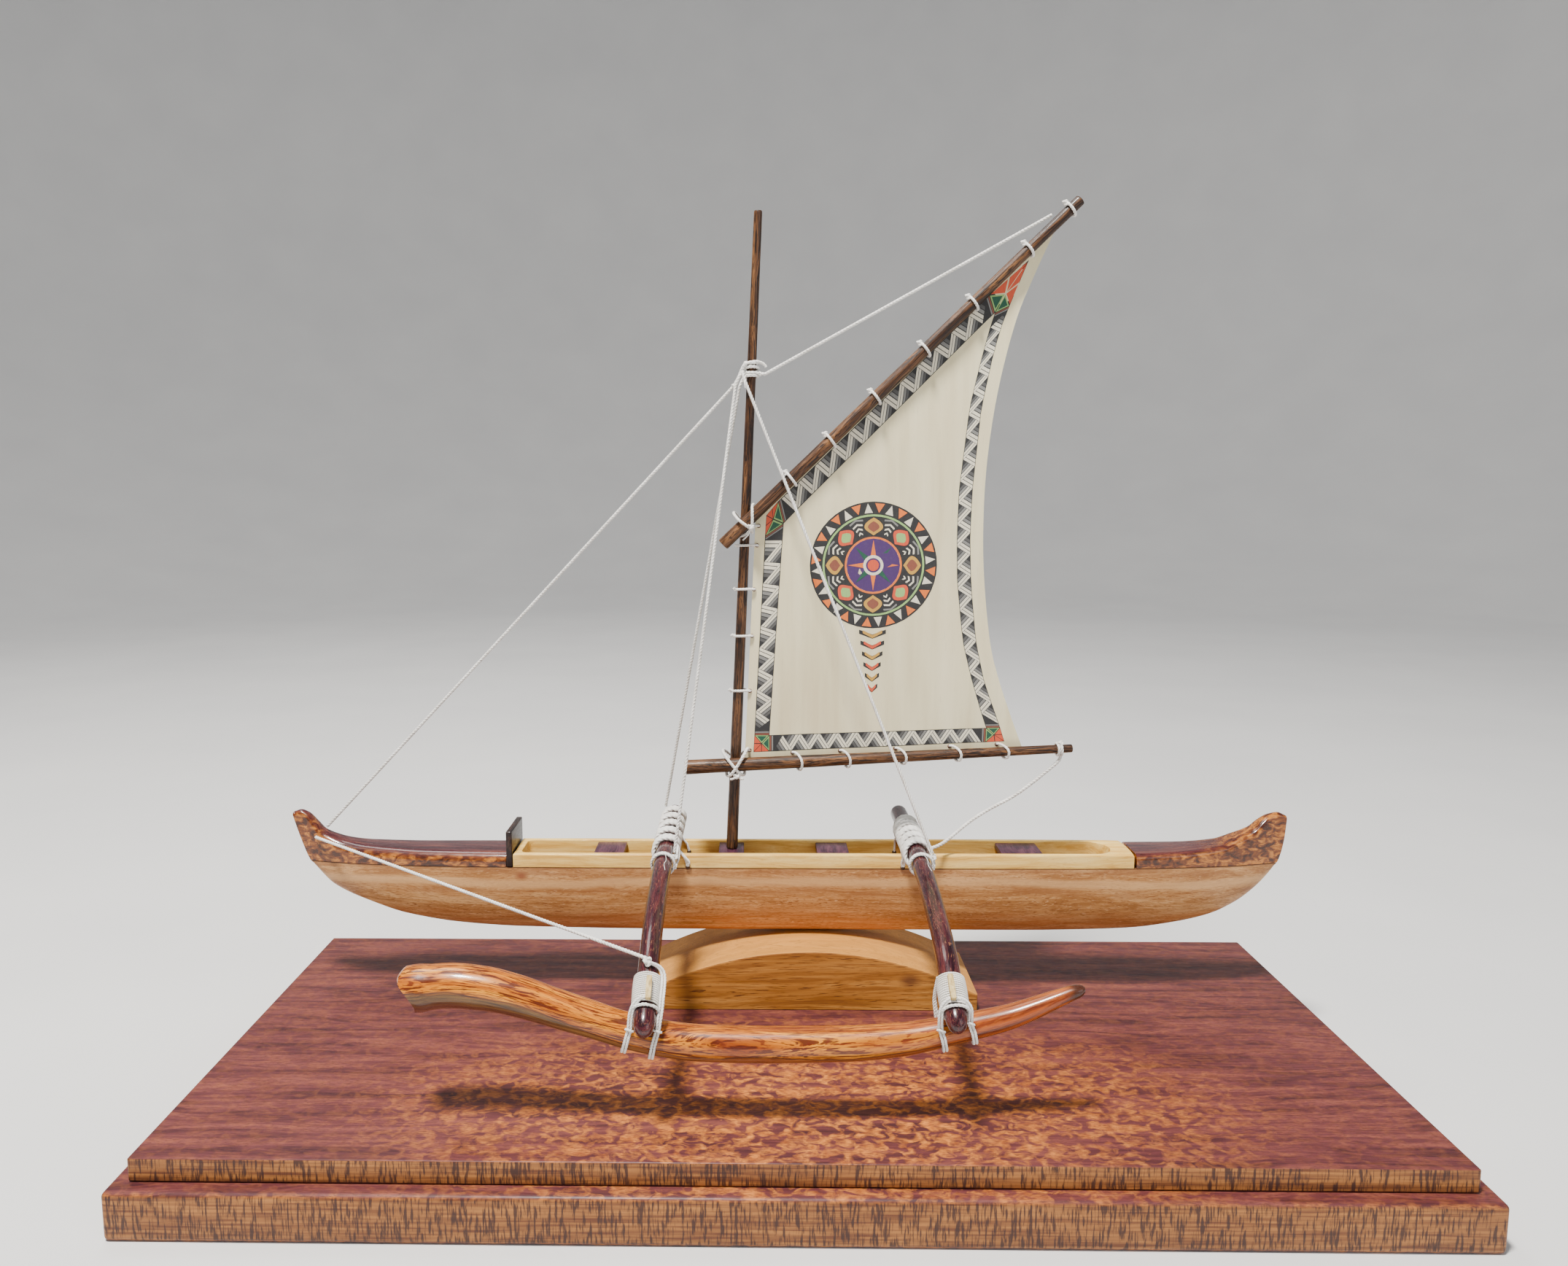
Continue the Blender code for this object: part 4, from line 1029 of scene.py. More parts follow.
def tie_beam(side, cord, dark):
    """The shroud's ring on a crossbeam, the strands that tie it down, their pin and their eye."""
    x, pin_x, eye_x = BEAM_X[side], PIN_X[side], EYE_X[side]
    sign = 1.0 if side == "forward" else -1.0
    z, along = beam_height(side, SHROUD_RING_Y)
    ring = BEAM_RADIUS + GAP + 0.65
    lines = [(ring_path((x, 11.6, z + 0.05), along, ring, 48), 0.65, True),
             (ring_path((x, 10.4, z - 0.05), along, ring, 48), 0.65, True),
             strand([(x + 4.2, 31.5, 107.0), (x + 5.6, 27.0, 105.6), (x + 6.0, 20.0, 104.8),
                     (x + 5.9, 13.4, 104.6)], 0.6),
             strand([(x + 5.4, 33.0, 104.6), (x + 6.5, 26.0, 103.4), (x + 6.7, 18.0, 102.6),
                     (x + 6.2, 12.4, 102.2), (x + 5.6, 10.6, 100.4)], 0.6),
             tie((x + 5.7, 12.4, 105.8), 1.3, 0.6, 0.4, 0.6),
             strand([(x + 1.2, 9.8, z + 5.0), (x + 2.0, 5.0, z + 4.1), (x + 1.4, 0.0, z + 3.7),
                     (x + 2.2, -5.0, z + 2.7)], 0.16)]
    for shift in (-0.65, 0.65):
        lines.append(strand([
            (x + sign * 5.3, 36.6 + shift, 104.0), (x + sign * 5.7, 35.6 + shift, 101.4),
            (x * 0.35 + sign * 1.9 + pin_x * 0.65, 34.8 + shift, 98.2), (pin_x + shift, 34.9, 95.6),
            (pin_x + shift * 0.5, 35.2, 93.4)], 0.6))
    lines.append(strand([
        (x + sign * 5.3, 55.6, 103.6), (x + sign * 5.9, 57.0, 100.6),
        (x * 0.3 + sign * 1.7 + eye_x * 0.7, 58.0, 97.2), (eye_x, 58.2, 93.6)], 0.65))
    ropes(side + "_ties", lines, cord, HULL, (side + "_shroud_ring",))
    for tag, at in (("pin", (pin_x, 35.9, 92.7)), ("eye", (eye_x, 58.6, 92.9))):
        peg_rings = []
        for off, r in ((-0.3, 1.1), (0.5, 1.1), (0.8, 0.9), (0.95, 0.5)):
            peg_rings.append([tuple(p) for p in ring_path((at[0], at[1] - off, at[2]),
                                                        (0.0, -1.0, 0.0), r, 14)])
        skin("%s_%s" % (side, tag), peg_rings, dark, HULL, ())


def wind_float(side, cord, thread):
    """Fine thread wound close on a beam's end, and the cord across it."""
    x = BEAM_X[side]
    wound = []
    turns, per_turn = 14, 24
    top, low = SLEEVE_Y[side]
    for k in range(turns * per_turn + 1):
        share = k / (turns * per_turn)
        y = top + (low - top) * share
        z, along = beam_height(side, y)
        a = 2.0 * math.pi * k / per_turn
        other = Vector((1.0, 0.0, 0.0)).cross(along)
        reach = BEAM_RADIUS + 0.75 + 0.35 * math.sin(math.pi * share) ** 0.5
        wound.append(Vector((x + math.cos(a) * reach, y, z)) + other * math.sin(a) * reach)
    verts, faces = rope_mesh(wound, 0.43, pitch=2.6)
    add_piece(side + "_thread", verts, faces, thread, HULL, (side + "_ama_wrap",), 70.0)
    z, along = beam_height(side, BINDING_Y[side])
    ropes(side + "_binding",
          [(ring_path((x, BINDING_Y[side], z), along, BEAM_RADIUS + GAP + 0.65, 40),
                               0.68, True)], cord, HULL, (side + "_ama_binding",))


def push_stick(side, peg_wood):
    """A split stick pushed in over the thread."""
    x = BEAM_X[side]
    line = []
    for share in (0.0, 0.5, 1.0):
        y = STICK_Y[side][0] + (STICK_Y[side][1] - STICK_Y[side][0]) * share
        z, along = beam_height(side, y)
        out = Vector((0.0, along.z, -along.y))
        line.append(Vector((x + STICK_SIDE[side], y, z)) + out * (BEAM_RADIUS + 2.7 + GAP))
    lengthwise = (line[-1] - line[0]).normalized()
    square_up = Vector((0.0, lengthwise.z, -lengthwise.y))
    rings = []
    for at, half in ((line[0], 0.8), (line[0] + lengthwise * 0.35, 1.0), (line[1], 1.1),
                     (line[2] - lengthwise * 0.3, 1.0), (line[2], 0.8)):
        rings.append([tuple(at + Vector((sx * half, 0.0, 0.0)) + square_up * sz * half * 0.9)
                      for sx, sz in ((-1, -1), (1, -1), (1, 1), (-1, 1))])
    piece = skin(side + "_stick", rings, peg_wood, HULL, (side + "_peg",), sharp=30.0)
    values = [(v[1] * 1.2, v[0], v[2]) for ring in rings for v in ring]
    piece.data.attributes["grain"].data.foreach_set("vector", np.array(values, np.float32).ravel())


def sling_float(side, cord):
    """Two doubled slings that come down from a beam and go round the float."""
    x = BEAM_X[side]
    for hand, sign in (("forward", -1.0), ("aft", 1.0)):
        down, float_x = SLINGS["%s_%s" % (side, hand)]
        z = curve_through(FLOAT_HEIGHT, float_x)
        slope = (curve_through(FLOAT_HEIGHT, float_x + 2.0)
                 - curve_through(FLOAT_HEIGHT, float_x - 2.0)) / 4.0
        up = Vector((-slope, 0.0, 1.0)).normalized()
        ahead = Vector((1.0, 0.0, slope)).normalized()
        reach = curve_through(FLOAT_RADIUS, float_x) + GAP + 0.62
        lines = []
        for shift in (-0.58, 0.58):
            points = [Vector(p) + Vector((shift, 0.0, 0.0)) for p in down]
            for k in range(11):
                a = math.radians(-6.0 + 190.0 * k / 10.0)
                points.append(Vector((float_x, FLOAT_Y, z)) + ahead * shift
                              - Vector((0.0, 1.0, 0.0)) * reach * math.cos(a)
                              - up * reach * math.sin(a))
            beam_z = beam_height(side, FLOAT_Y + 6.5)[0]
            points.append(Vector((x + sign * 5.6 + shift * 0.5, FLOAT_Y + 8.0, (z + beam_z) / 2.0)))
            points.append(Vector((x + sign * 4.7 + shift * 0.3, FLOAT_Y + 6.5, beam_z)))
            lines.append(strand(points, 0.58, 3))
        at = Vector(down[-1]) + Vector((0.0, -0.5, 0.0))
        lines.append(strand([at + Vector(p) for p in (
            (-1.5, 0.3, 0.3), (-0.4, -0.5, 0.5), (0.6, -0.5, -0.1), (1.5, 0.3, -0.6))], 0.5, 4))
        if side == "forward" and hand == "aft":
            lines.append(tie((-57.2, -66.6, 89.3), 1.5, 0.7, 0.4, 0.9))
        ropes("%s_loop_%s" % (side, hand), lines, cord, HULL, ("%s_ama_loop_%s" % (side, hand),))


# Sail and what laces it

def swell(x, z):
    """How far the cloth stands off its flat plane, in millimetres."""
    return (0.16 * math.sin(x * 0.11 + z * 0.035 + 0.6) + 0.10 * math.sin(z * 0.09 - x * 0.05)
            + 0.05 * math.sin(x * 0.23 + z * 0.12))


def polyline_at(points, share):
    pts = np.array(points, float)
    along = np.concatenate([[0.0], np.cumsum(np.linalg.norm(np.diff(pts, axis=0), axis=1))])
    return tuple(np.interp(share * along[-1], along, pts[:, k]) for k in range(pts.shape[1]))


def leech_curve():
    return [(p[0], p[1]) for p in smooth_path([(x, z, 0.0) for x, z in LEECH], 6)]


def make_sail(cloth):
    left_rows = [polyline_at(LUFF, k / 40) for k in range(40)]
    left_rows += [polyline_at(HEAD, k / 50) for k in range(51)]
    leech = leech_curve()
    luff_length = math.dist(*LUFF)
    whole = luff_length + math.dist(*HEAD)
    count = 48
    verts = []
    for side in (-1.0, 1.0):
        for i, (lx, lz) in enumerate(left_rows):
            done = luff_length * i / 40 if i < 40 else luff_length + math.dist(*HEAD) * (i
                                                                                         - 40) / 50
            rx, rz = polyline_at(leech, done / whole)
            for j in range(count + 1):
                u = j / count
                x, z = lx + (rx - lx) * u, lz + (rz - lz) * u
                verts.append((x, SAIL_Y + side * SAIL_THICK / 2.0 + swell(x, z), z))
    rows, wide = len(left_rows), count + 1
    faces = []
    for base, flip in ((0, False), (rows * wide, True)):
        for i in range(rows - 1):
            for j in range(count):
                a, b = base + i * wide + j, base + i * wide + j + 1
                quad = (a, b, b + wide, a + wide)
                faces.append(tuple(reversed(quad)) if flip else quad)
    rim = [(0, j) for j in range(wide)] + [(i, count) for i in range(1, rows)]
    rim += [(i, 0) for i in range(rows - 2, 0, -1)]
    for k in range(len(rim)):
        (i, j), (p, q) = rim[k], rim[(k + 1) % len(rim)]
        a, b = i * wide + j, p * wide + q
        faces.append((a, b, b + rows * wide, a + rows * wide))
    mesh = bpy.data.meshes.new("sail_cloth")
    mesh.from_pydata([tuple(c * MM for c in v) for v in verts], [], faces)
    bm = bmesh.new()
    bm.from_mesh(mesh)
    bmesh.ops.remove_doubles(bm, verts=bm.verts, dist=0.00002)
    bmesh.ops.recalc_face_normals(bm, faces=bm.faces)
    bm.to_mesh(mesh)
    bm.free()
    return finish_piece("sail_cloth", mesh, cloth, RIG, ("sail",), 50.0)


class Painting:
    """Flat shapes just proud of the sail's outer face, each with its colour."""

    def __init__(self):
        self.verts, self.faces, self.inks = [], [], []

    def shape(self, points, ink, layer):
        first = len(self.verts)
        for x, z in points:
            y = SAIL_Y - SAIL_THICK / 2.0 - 0.045 * layer + swell(x, z)
            self.verts.append((x, y, z))
            self.inks.append((*ink, 1.0))
        self.faces.append(tuple(range(first, len(self.verts))))

    def band(self, outer, inner, ink, layer, steps):
        """A strip between two lines of points."""
        for k in range(steps):
            a, b = k / steps, (k + 1) / steps
            for low, high in ((0.0, 0.5), (0.5, 1.0)):
                corners = []
                for share, across in ((a, low), (b, low), (b, high), (a, high)):
                    o, i = polyline_at(outer, share), polyline_at(inner, share)
                    corners.append((o[0] + (i[0] - o[0]) * across, o[1] + (i[1] - o[1]) * across))
                self.shape(corners, ink, layer)

    def build(self, name, material):
        obj = add_piece(name, self.verts, self.faces, material, RIG, recalc=False)
        inks = obj.data.attributes.new("ink", "FLOAT_COLOR", "POINT")
        inks.data.foreach_set("color", np.array(self.inks, np.float32).ravel())
        return obj


BLACK, CREAM, GREY = (0.018, 0.018, 0.020), (0.80, 0.75, 0.60), (0.22, 0.22, 0.21)
RED, GREEN, LIME = (0.68, 0.085, 0.03), (0.008, 0.085, 0.045), (0.30, 0.50, 0.16)
BROWN = (0.24, 0.07, 0.04)
ORANGE, PURPLE, GOLD = (0.80, 0.18, 0.02), (0.06, 0.02, 0.12), (0.58, 0.32, 0.05)
DUSK = (0.085, 0.085, 0.085)
# Columns: a slanted bar's edges as shares of the space for it, ink
PLAIT_BARS = ((0.02, 0.155, CREAM), (0.19, 0.335, CREAM), (0.38, 0.52, GREY), (0.56, 0.70, DUSK))


def plait(painting, outer, inner, period):
    """A strip of slanted bars leaning one way and then the other, with a plain bar at each end."""
    length = sum(math.dist(a, b) for a, b in zip(outer[:-1], outer[1:]))
    painting.band(outer, inner, BLACK, 1, max(12, int(length / 2.5)))
    count = 2 * max(2, int(round((length - 4.0) / period)))
    margin = 2.0 / length
    pitch = (1.0 - 2.0 * margin) / count

    def at(share, across):
        share = min(max(share, 0.0), 1.0)
        o, i = polyline_at(outer, share), polyline_at(inner, share)
        across = 0.04 + across * 0.92
        return (o[0] + (i[0] - o[0]) * across, o[1] + (i[1] - o[1]) * across)

    for first, last, ink in ((0.15, 0.85, BROWN), (1.1, 1.75, GREY)):
        for low, high in ((first, last), (length - last, length - first)):
            low, high = low / length, high / length
            painting.shape([at(low, 0.0), at(high, 0.0), at(high, 1.0), at(low, 1.0)], ink, 2)
    for k in range(count - 1):
        edge, far = k % 2, (k + 1) % 2
        for low, high, ink in PLAIT_BARS:
            base = [(margin + (k + f * 2.0) * pitch, edge) for f in (low, high)]
            side = [(margin + (k + 1 + f) * pitch, far + (edge - far) * f) for f in (low, high)]
            painting.shape([at(*base[0]), at(*side[0]), at(*side[1]), at(*base[1])], ink, 2)


def inset_shape(points, share):
    cx = sum(p[0] for p in points) / len(points)
    cz = sum(p[1] for p in points) / len(points)
    return [(cx + (x - cx) * share, cz + (z - cz) * share) for x, z in points]


def corner(painting, corners):
    """A corner block: red triangles on its outer sides and green ones on its inner sides."""
    painting.shape(corners, BLACK, 1)
    mid = (sum(p[0] for p in corners) / 4.0, sum(p[1] for p in corners) / 4.0)
    for k in range(4):
        a, b = corners[k], corners[(k + 1) % 4]
        edge = ((a[0] + b[0]) / 2.0, (a[1] + b[1]) / 2.0)
        if k in (1, 2):
            painting.shape(inset_shape([a, b, mid], 0.90), LIME, 2)
            painting.shape(inset_shape([a, b, mid], 0.66), GREEN, 3)
        else:
            for tip in (a, b):
                painting.shape(inset_shape([tip, edge, mid], 0.86), RED, 2)


def share_along(points, low, high):
    """The part of a polyline between two shares of its length."""
    steps = 24
    return [polyline_at(points, low + (high - low) * k / steps) for k in range(steps + 1)]


def make_border(painting):
    throat_out, tack_out = (-9.8, 258.6), (-15.7, 146.7)
    clew_out = (105.0, 152.2)
    throat_in, tack_in, clew_in = (-1.4, 256.8), (-8.0, 155.1), (96.0, 158.8)
    leech_out = [clew_out, (101.6, 162.4), (94.8, 180.5), (90.3, 200.5), (87.2, 229.0),
                 (86.4, 250.0),
                 (87.0, 272.0), (90.2, 309.8), (95.4, 336.0), (99.2, 349.0), (104.6, 363.0)]
    leech_in = [clew_in, (93.0, 167.6), (88.0, 184.0), (83.9, 200.5), (80.6, 229.0), (80.0, 250.0),
                (80.6, 272.0), (84.6, 310.3), (89.6, 332.7), (92.7, 344.7), (95.2, 352.8)]
    head_in = [throat_in, (4.7, 263.1), (52.1, 310.1), (90.1, 348.0), (95.2, 352.8)]
    head_out = [(-9.4, 262.0), (-1.6, 269.6), (45.6, 315.2), (84.6, 353.2), (98.4, 366.6)]
    luff_out, foot_out = [throat_out, tack_out], [clew_out, tack_out]
    # Each strip runs from one corner block to the next
    for outer, inner, low, high, period in (
            (luff_out, [throat_in, tack_in], 0.07, 0.925, 10.6),
            (foot_out, [clew_in, tack_in], 0.075, 0.936, 9.0),
            (leech_out, leech_in, 0.033, 0.965, 10.2),
            (head_out, head_in, 0.05, 0.945, 10.6)):
        plait(painting, share_along(outer, low, high), share_along(inner, 0.0, 1.0), period)
    corner(painting,
           [tack_out, polyline_at(luff_out, 0.925), tack_in, polyline_at(foot_out, 0.936)])
    corner(painting,
           [clew_out, polyline_at(foot_out, 0.075), clew_in, polyline_at(leech_out, 0.033)])
    corner(painting,
           [(-9.6, 260.6), polyline_at(head_out, 0.05), throat_in, polyline_at(luff_out, 0.07)])
    corner(painting, [(110.2, 376.4), polyline_at(leech_out, 0.965), (95.2, 352.8),
                      polyline_at(head_out, 0.945)])


def make_rosette(painting, cx, cz, size):
    """A round ornament of rings, petals and triangles."""

    def polar(angle, radius):
        return (cx + math.sin(angle) * radius * size, cz + math.cos(angle) * radius * size)

    def ring(inner, outer, ink, layer, steps=48):
        for k in range(steps):
            a, b = 2 * math.pi * k / steps, 2 * math.pi * (k + 1) / steps
            painting.shape([polar(a, inner), polar(b, inner), polar(b, outer), polar(a, outer)],
                           ink, layer)

    ring(0.80, 1.0, BLACK, 1)
    ring(0.77, 0.80, LIME, 1)
    ring(0.45, 0.77, BLACK, 1)
    ring(0.42, 0.45, ORANGE, 1)
    ring(0.0, 0.42, PURPLE, 1, 24)
    for k in range(32):
        a, b = 2 * math.pi * k / 32, 2 * math.pi * (k + 1) / 32
        tone = CREAM if k % 2 else ORANGE
        low, high = (0.825, 0.975) if k % 2 else (0.975, 0.825)
        painting.shape([polar(a + 0.02, low), polar(b - 0.02, low), polar((a + b) / 2, high)], tone,
                       2)
    for k in range(8):
        a = 2 * math.pi * k / 8
        petal = []
        for step in range(13):
            t = step / 12
            petal.append(polar(a - 0.24 * math.sin(math.pi * t), 0.47 + 0.28 * t))
        for step in range(1, 12):
            t = 1.0 - step / 12
            petal.append(polar(a + 0.24 * math.sin(math.pi * t), 0.47 + 0.28 * t))
        painting.shape(petal, RED if k % 2 else GOLD, 2)
        painting.shape(inset_shape(petal, 0.62), LIME if k % 2 else BROWN, 3)
        between = a + math.pi / 8
        for step in range(4):
            r = 0.50 + 0.07 * step
            spread_angle = 0.06 + 0.032 * step
            painting.shape([polar(between - spread_angle, r), polar(between, r + 0.03),
                            polar(between + spread_angle, r),
                            polar(between + spread_angle, r + 0.028),
                            polar(between, r + 0.058), polar(between - spread_angle, r + 0.028)],
                           CREAM if step < 3 else GREY, 2)
        painting.shape([polar(a - 0.26, 0.16), polar(a, 0.40), polar(a + 0.26, 0.16)],
                       GREEN if k % 2 else ORANGE, 2)
    ring(0.115, 0.16, CREAM, 3, 24)
    ring(0.0, 0.09, RED, 3, 16)


def make_pendant(painting):
    """A column of shrinking chevrons under the round ornament."""
    for k in range(6):
        z, half = 203.0 - 5.2 * k, 6.4 - 0.75 * k
        for grow, ink, layer in ((1.0, BLACK, 1), (0.72, RED if k % 2 else GOLD, 2)):
            w, h = half * grow, 2.0 * grow
            painting.shape([(41.0 - w, z + 2.4 + h * 0.5), (41.0, z + h * 0.5),
                            (41.0 + w, z + 2.4 + h * 0.5),
                            (41.0 + w, z + 2.4 - h * 0.5), (41.0, z - h * 0.5),
                            (41.0 - w, z + 2.4 - h * 0.5)], ink, layer)


def stick_at(stick, x):
    """The height and radius of the boom or the spar at x."""
    front, back, radii = stick
    share = (x - front[0]) / (back[0] - front[0])
    return front[1] + (back[1] - front[1]) * share, radii[0] + (radii[1] - radii[0]) * share


def make_loops(cord, eyelet):
    """The small loops that lace the sail to the mast, the boom and the spar."""
    eyelets = []
    lines = []
    for z, ex in ((246.5, -14.0), (225.7, -15.4), (203.3, -16.4), (176.8, -17.4)):
        x, r = mast_at(z)
        reach = r + 0.95
        eyelets.append((ex, z))
        lines.append(strand([
            (ex + 0.5, 46.9, z), (ex - 0.4, 45.7, z + 0.15), ((x + ex) / 2.0, 45.35, z + 0.2),
            (x + 0.4, HULL_Y - reach, z + 0.1), (x - reach * 0.72, HULL_Y - reach * 0.72, z),
            (x - reach, HULL_Y, z), (x - reach * 0.72, HULL_Y + reach * 0.72, z - 0.1),
            (x + 0.3, HULL_Y + reach, z - 0.2), (x + reach * 0.75, HULL_Y + reach * 0.85, z - 0.2),
            ((x + ex) / 2.0 + 2.6, 49.4, z - 0.15), (ex - 0.3, 48.1, z - 0.1)], 0.68, 5, True))
        lines.append(tie((x - reach - 0.3, HULL_Y - 0.8, z), 0.95, 0.5, 1.2, 0.5))
    for bx in (6.0, 29.0, 55.6, 81.7, 104.3):
        bz, r = stick_at(BOOM, bx)
        reach = r + 0.85
        ez = bz + r + 0.5
        eyelets.append((bx - 2.9, ez))
        lines.append(strand([
            (bx - 2.9, 46.9, ez), (bx - 2.5, 45.5, ez + 0.5),
            (bx - 1.0, BOOM_Y + 0.6, bz + reach + 0.1),
            (bx + 0.6, BOOM_Y - reach * 0.72, bz + reach * 0.72),
            (bx + 1.5, BOOM_Y - reach, bz + 0.3),
            (bx + 1.2, BOOM_Y - reach * 0.72, bz - reach * 0.72),
            (bx + 0.1, BOOM_Y + 0.3, bz - reach),
            (bx - 1.0, BOOM_Y + reach * 0.75, bz - reach * 0.7),
            (bx - 1.9, BOOM_Y + reach + 0.9, bz - 0.8),
            (bx - 2.6, 48.2, bz + r * 0.6)], 0.68, 5, True))
    lean = Vector((0.7223, 0.0, 0.6915))       # along the spar
    across = Vector((-lean.z, 0.0, lean.x))
    for sx, sz in ((2.0, 277.2), (20.3, 295.5), (40.8, 314.4), (63.2, 336.6), (84.7, 357.9),
                   (109.2, 380.9), (127.3, 397.9)):
        z, r = stick_at(SPAR, sx)
        on_axis = Vector((sx, SPAR_Y, z))
        front, back = SPAR_Y - r - 0.8, 48.1 if sx < 120.0 else SPAR_Y + r + 0.8
        loop = []
        for k in range(28):
            a = 2 * math.pi * k / 28
            y = (front + back) / 2.0 - math.cos(a) * (back - front) / 2.0
            out = math.sin(a) * (r + 0.85) * (1.0 + 0.10 * math.cos(a))
            loop.append(Vector((on_axis.x, y, on_axis.z)) + across * out + lean * (out * 0.12))
        lines.append((loop, 0.72, True))
        lines.append(tie(on_axis + across * (r + 1.2) + Vector((0.0, -1.2, 0.0)), 1.25, 0.62, 0.4,
                         0.8))
    ropes("sail_loops", lines, cord, RIG)
    # Each eyelet is a raised dark ring closed by a dark middle; the middle is painted shade
    # standing for the hole.
    for k, (ex, ez) in enumerate(eyelets + [(-13.2, 255.7), (-17.6, 147.6)]):
        rings = []
        y = SAIL_Y - SAIL_THICK / 2.0 + swell(ex, ez)
        for r, off in ((1.0, 0.0), (0.95, 0.14), (0.75, 0.18), (0.62, 0.1), (0.55, -0.02),
                       (0.1, -0.02)):
            rings.append([(ex + math.cos(a) * r, y - off, ez + math.sin(a) * r)
                          for a in round_angles(20)])
        skin("eyelet_%02d" % (k + 1), rings, eyelet, RIG, ())


def make_rig_lashings(cord):
    boom_lines = [
        strand([(-29.4, 41.5, 146.3), (-26.2, 38.9, 142.6), (-22.6, 39.3, 138.2),
                (-20.7, 42.6, 136.4), (-19.9, 47.0, 136.6), (-21.4, 51.3, 138.6),
                (-24.9, 53.2, 142.0), (-28.6, 51.2, 145.8), (-30.4, 47.0, 147.6)], 0.8, 8, True),
        strand([(-18.0, 46.9, 147.6), (-18.6, 44.0, 149.0), (-20.4, 39.8, 146.6),
                (-23.2, 38.4, 142.0), (-26.4, 39.6, 137.4), (-28.2, 43.2, 136.0),
                (-28.8, 48.0, 136.8), (-27.4, 52.0, 138.6), (-24.2, 53.0, 142.0),
                (-20.6, 51.6, 145.4), (-18.2, 48.6, 147.4)], 0.8, 8, True),
        tie((-23.6, 39.4, 136.8), 1.5, 0.7, 0.2, 0.3),
        strand([(-24.0, 39.0, 136.6), (-25.2, 38.6, 135.6), (-26.8, 38.8, 135.2)], 0.6),
        strand([(-23.2, 39.0, 136.6), (-21.8, 38.8, 135.4), (-20.4, 39.2, 135.4)], 0.6)]
    ropes("boom_tie", boom_lines, cord, RIG, ("boom_lashing",))
    spar_lines = [
        strand([(-24.6, 42.4, 261.2), (-22.6, 39.3, 258.8), (-19.2, 38.9, 256.2),
                (-16.9, 40.6, 254.4), (-16.2, 44.8, 252.8), (-16.6, 49.6, 253.0),
                (-19.4, 52.8, 256.2), (-22.9, 51.4, 260.0), (-24.8, 47.2, 262.0)], 0.75, 8, True),
        strand([(-16.2, 42.6, 264.9), (-16.2, 39.5, 262.2), (-16.2, 38.9, 258.4),
                (-16.5, 39.8, 255.2), (-18.6, 42.0, 252.4), (-22.2, 46.0, 251.0),
                (-23.4, 49.6, 253.4), (-21.6, 52.6, 257.6), (-18.0, 52.4, 262.4),
                (-15.8, 48.0, 265.6)], 0.75, 8, True),
        tie((-16.6, 39.2, 255.6), 1.35, 0.65, 0.2, 0.4),
        strand([(-16.0, 39.4, 255.6), (-14.6, 42.4, 255.8), (-13.4, 45.8, 255.8),
                (-13.0, 47.2, 255.7), (-13.8, 48.4, 255.6)], 0.65),
        strand([(-16.8, 39.4, 254.8), (-18.0, 40.2, 252.0), (-19.4, 41.4, 250.4),
                (-20.6, 42.4, 249.2)], 0.4)]
    ropes("spar_tie", spar_lines, cord, RIG, ("spar_lashing",))
    # The turn at the boom's end that the slack line hangs from
    centre = Vector((131.0, BOOM_Y, 149.42))
    ropes("boom_end_turn", [
        (ring_path(centre, (0.9987, 0.0, 0.0518), 2.0 + 0.85, 32), 0.75, True),
        (ring_path(centre + Vector((-1.6, 0.0, -0.08)), (0.99, 0.1, 0.0518), 2.0 + 0.85, 32), 0.75,
         True),
        tie((130.6, 41.4, 152.4), 1.2, 0.6, 0.3, 0.6)], cord, RIG)


# Studio

def make_stage():
    """A pale floor that curves up into a wall all round."""
    flat, curve, wall, count = 2.2, 1.5, 3.2, 72
    profile = [(0.7, 0.0), (1.4, 0.0), (flat, 0.0)]
    for k in range(1, 13):
        a = math.pi / 2.0 * k / 12
        profile.append((flat + curve * math.sin(a), curve * (1.0 - math.cos(a))))
    profile.append((flat + curve, wall))
    verts = [(0.0, 0.0, -0.0001)]
    for r, z in profile:
        for j in range(count):
            a = 2.0 * math.pi * j / count
            verts.append((r * math.cos(a), r * math.sin(a), z - 0.0001))
    faces = [(0, 1 + j, 1 + (j + 1) % count) for j in range(count)]
    for i in range(len(profile) - 1):
        here, there = 1 + i * count, 1 + (i + 1) * count
        for j in range(count):
            k = (j + 1) % count
            faces.append((here + j, there + j, there + k, here + k))
    mesh = bpy.data.meshes.new("studio_floor")
    mesh.from_pydata(verts, [], faces)
    mesh.shade_smooth()
    mesh.materials.append(floor_paper())
    floor = bpy.data.objects.new("studio_floor", mesh)
    bpy.context.scene.collection.objects.link(floor)


# Columns: name, place, what it points at, size, power, colour
LIGHTS = (("key", (-0.33, -0.52, 1.8), (0.0, 0.0, 0.12), 0.28, 80.0, (1.0, 0.96, 0.90)),
          ("fill", (1.3, -1.2, 0.9), (0.0, 0.0, 0.15), 1.2, 7.0, (0.92, 0.96, 1.0)),
          ("back", (-0.7, 0.8, 2.1), (0.0, 0.0, 0.2), 0.8, 14.0, (1.0, 0.98, 0.95)))


def make_light(name, at, target, size, power, colour):
    data = bpy.data.lights.new(name, "AREA")
    data.shape = "DISK"
    data.size = size
    data.energy = power
    data.color = colour
    obj = bpy.data.objects.new(name, data)
    bpy.context.scene.collection.objects.link(obj)
    obj.location = at
    obj.rotation_euler = (Vector(target) - Vector(at)).to_track_quat("-Z", "Y").to_euler()


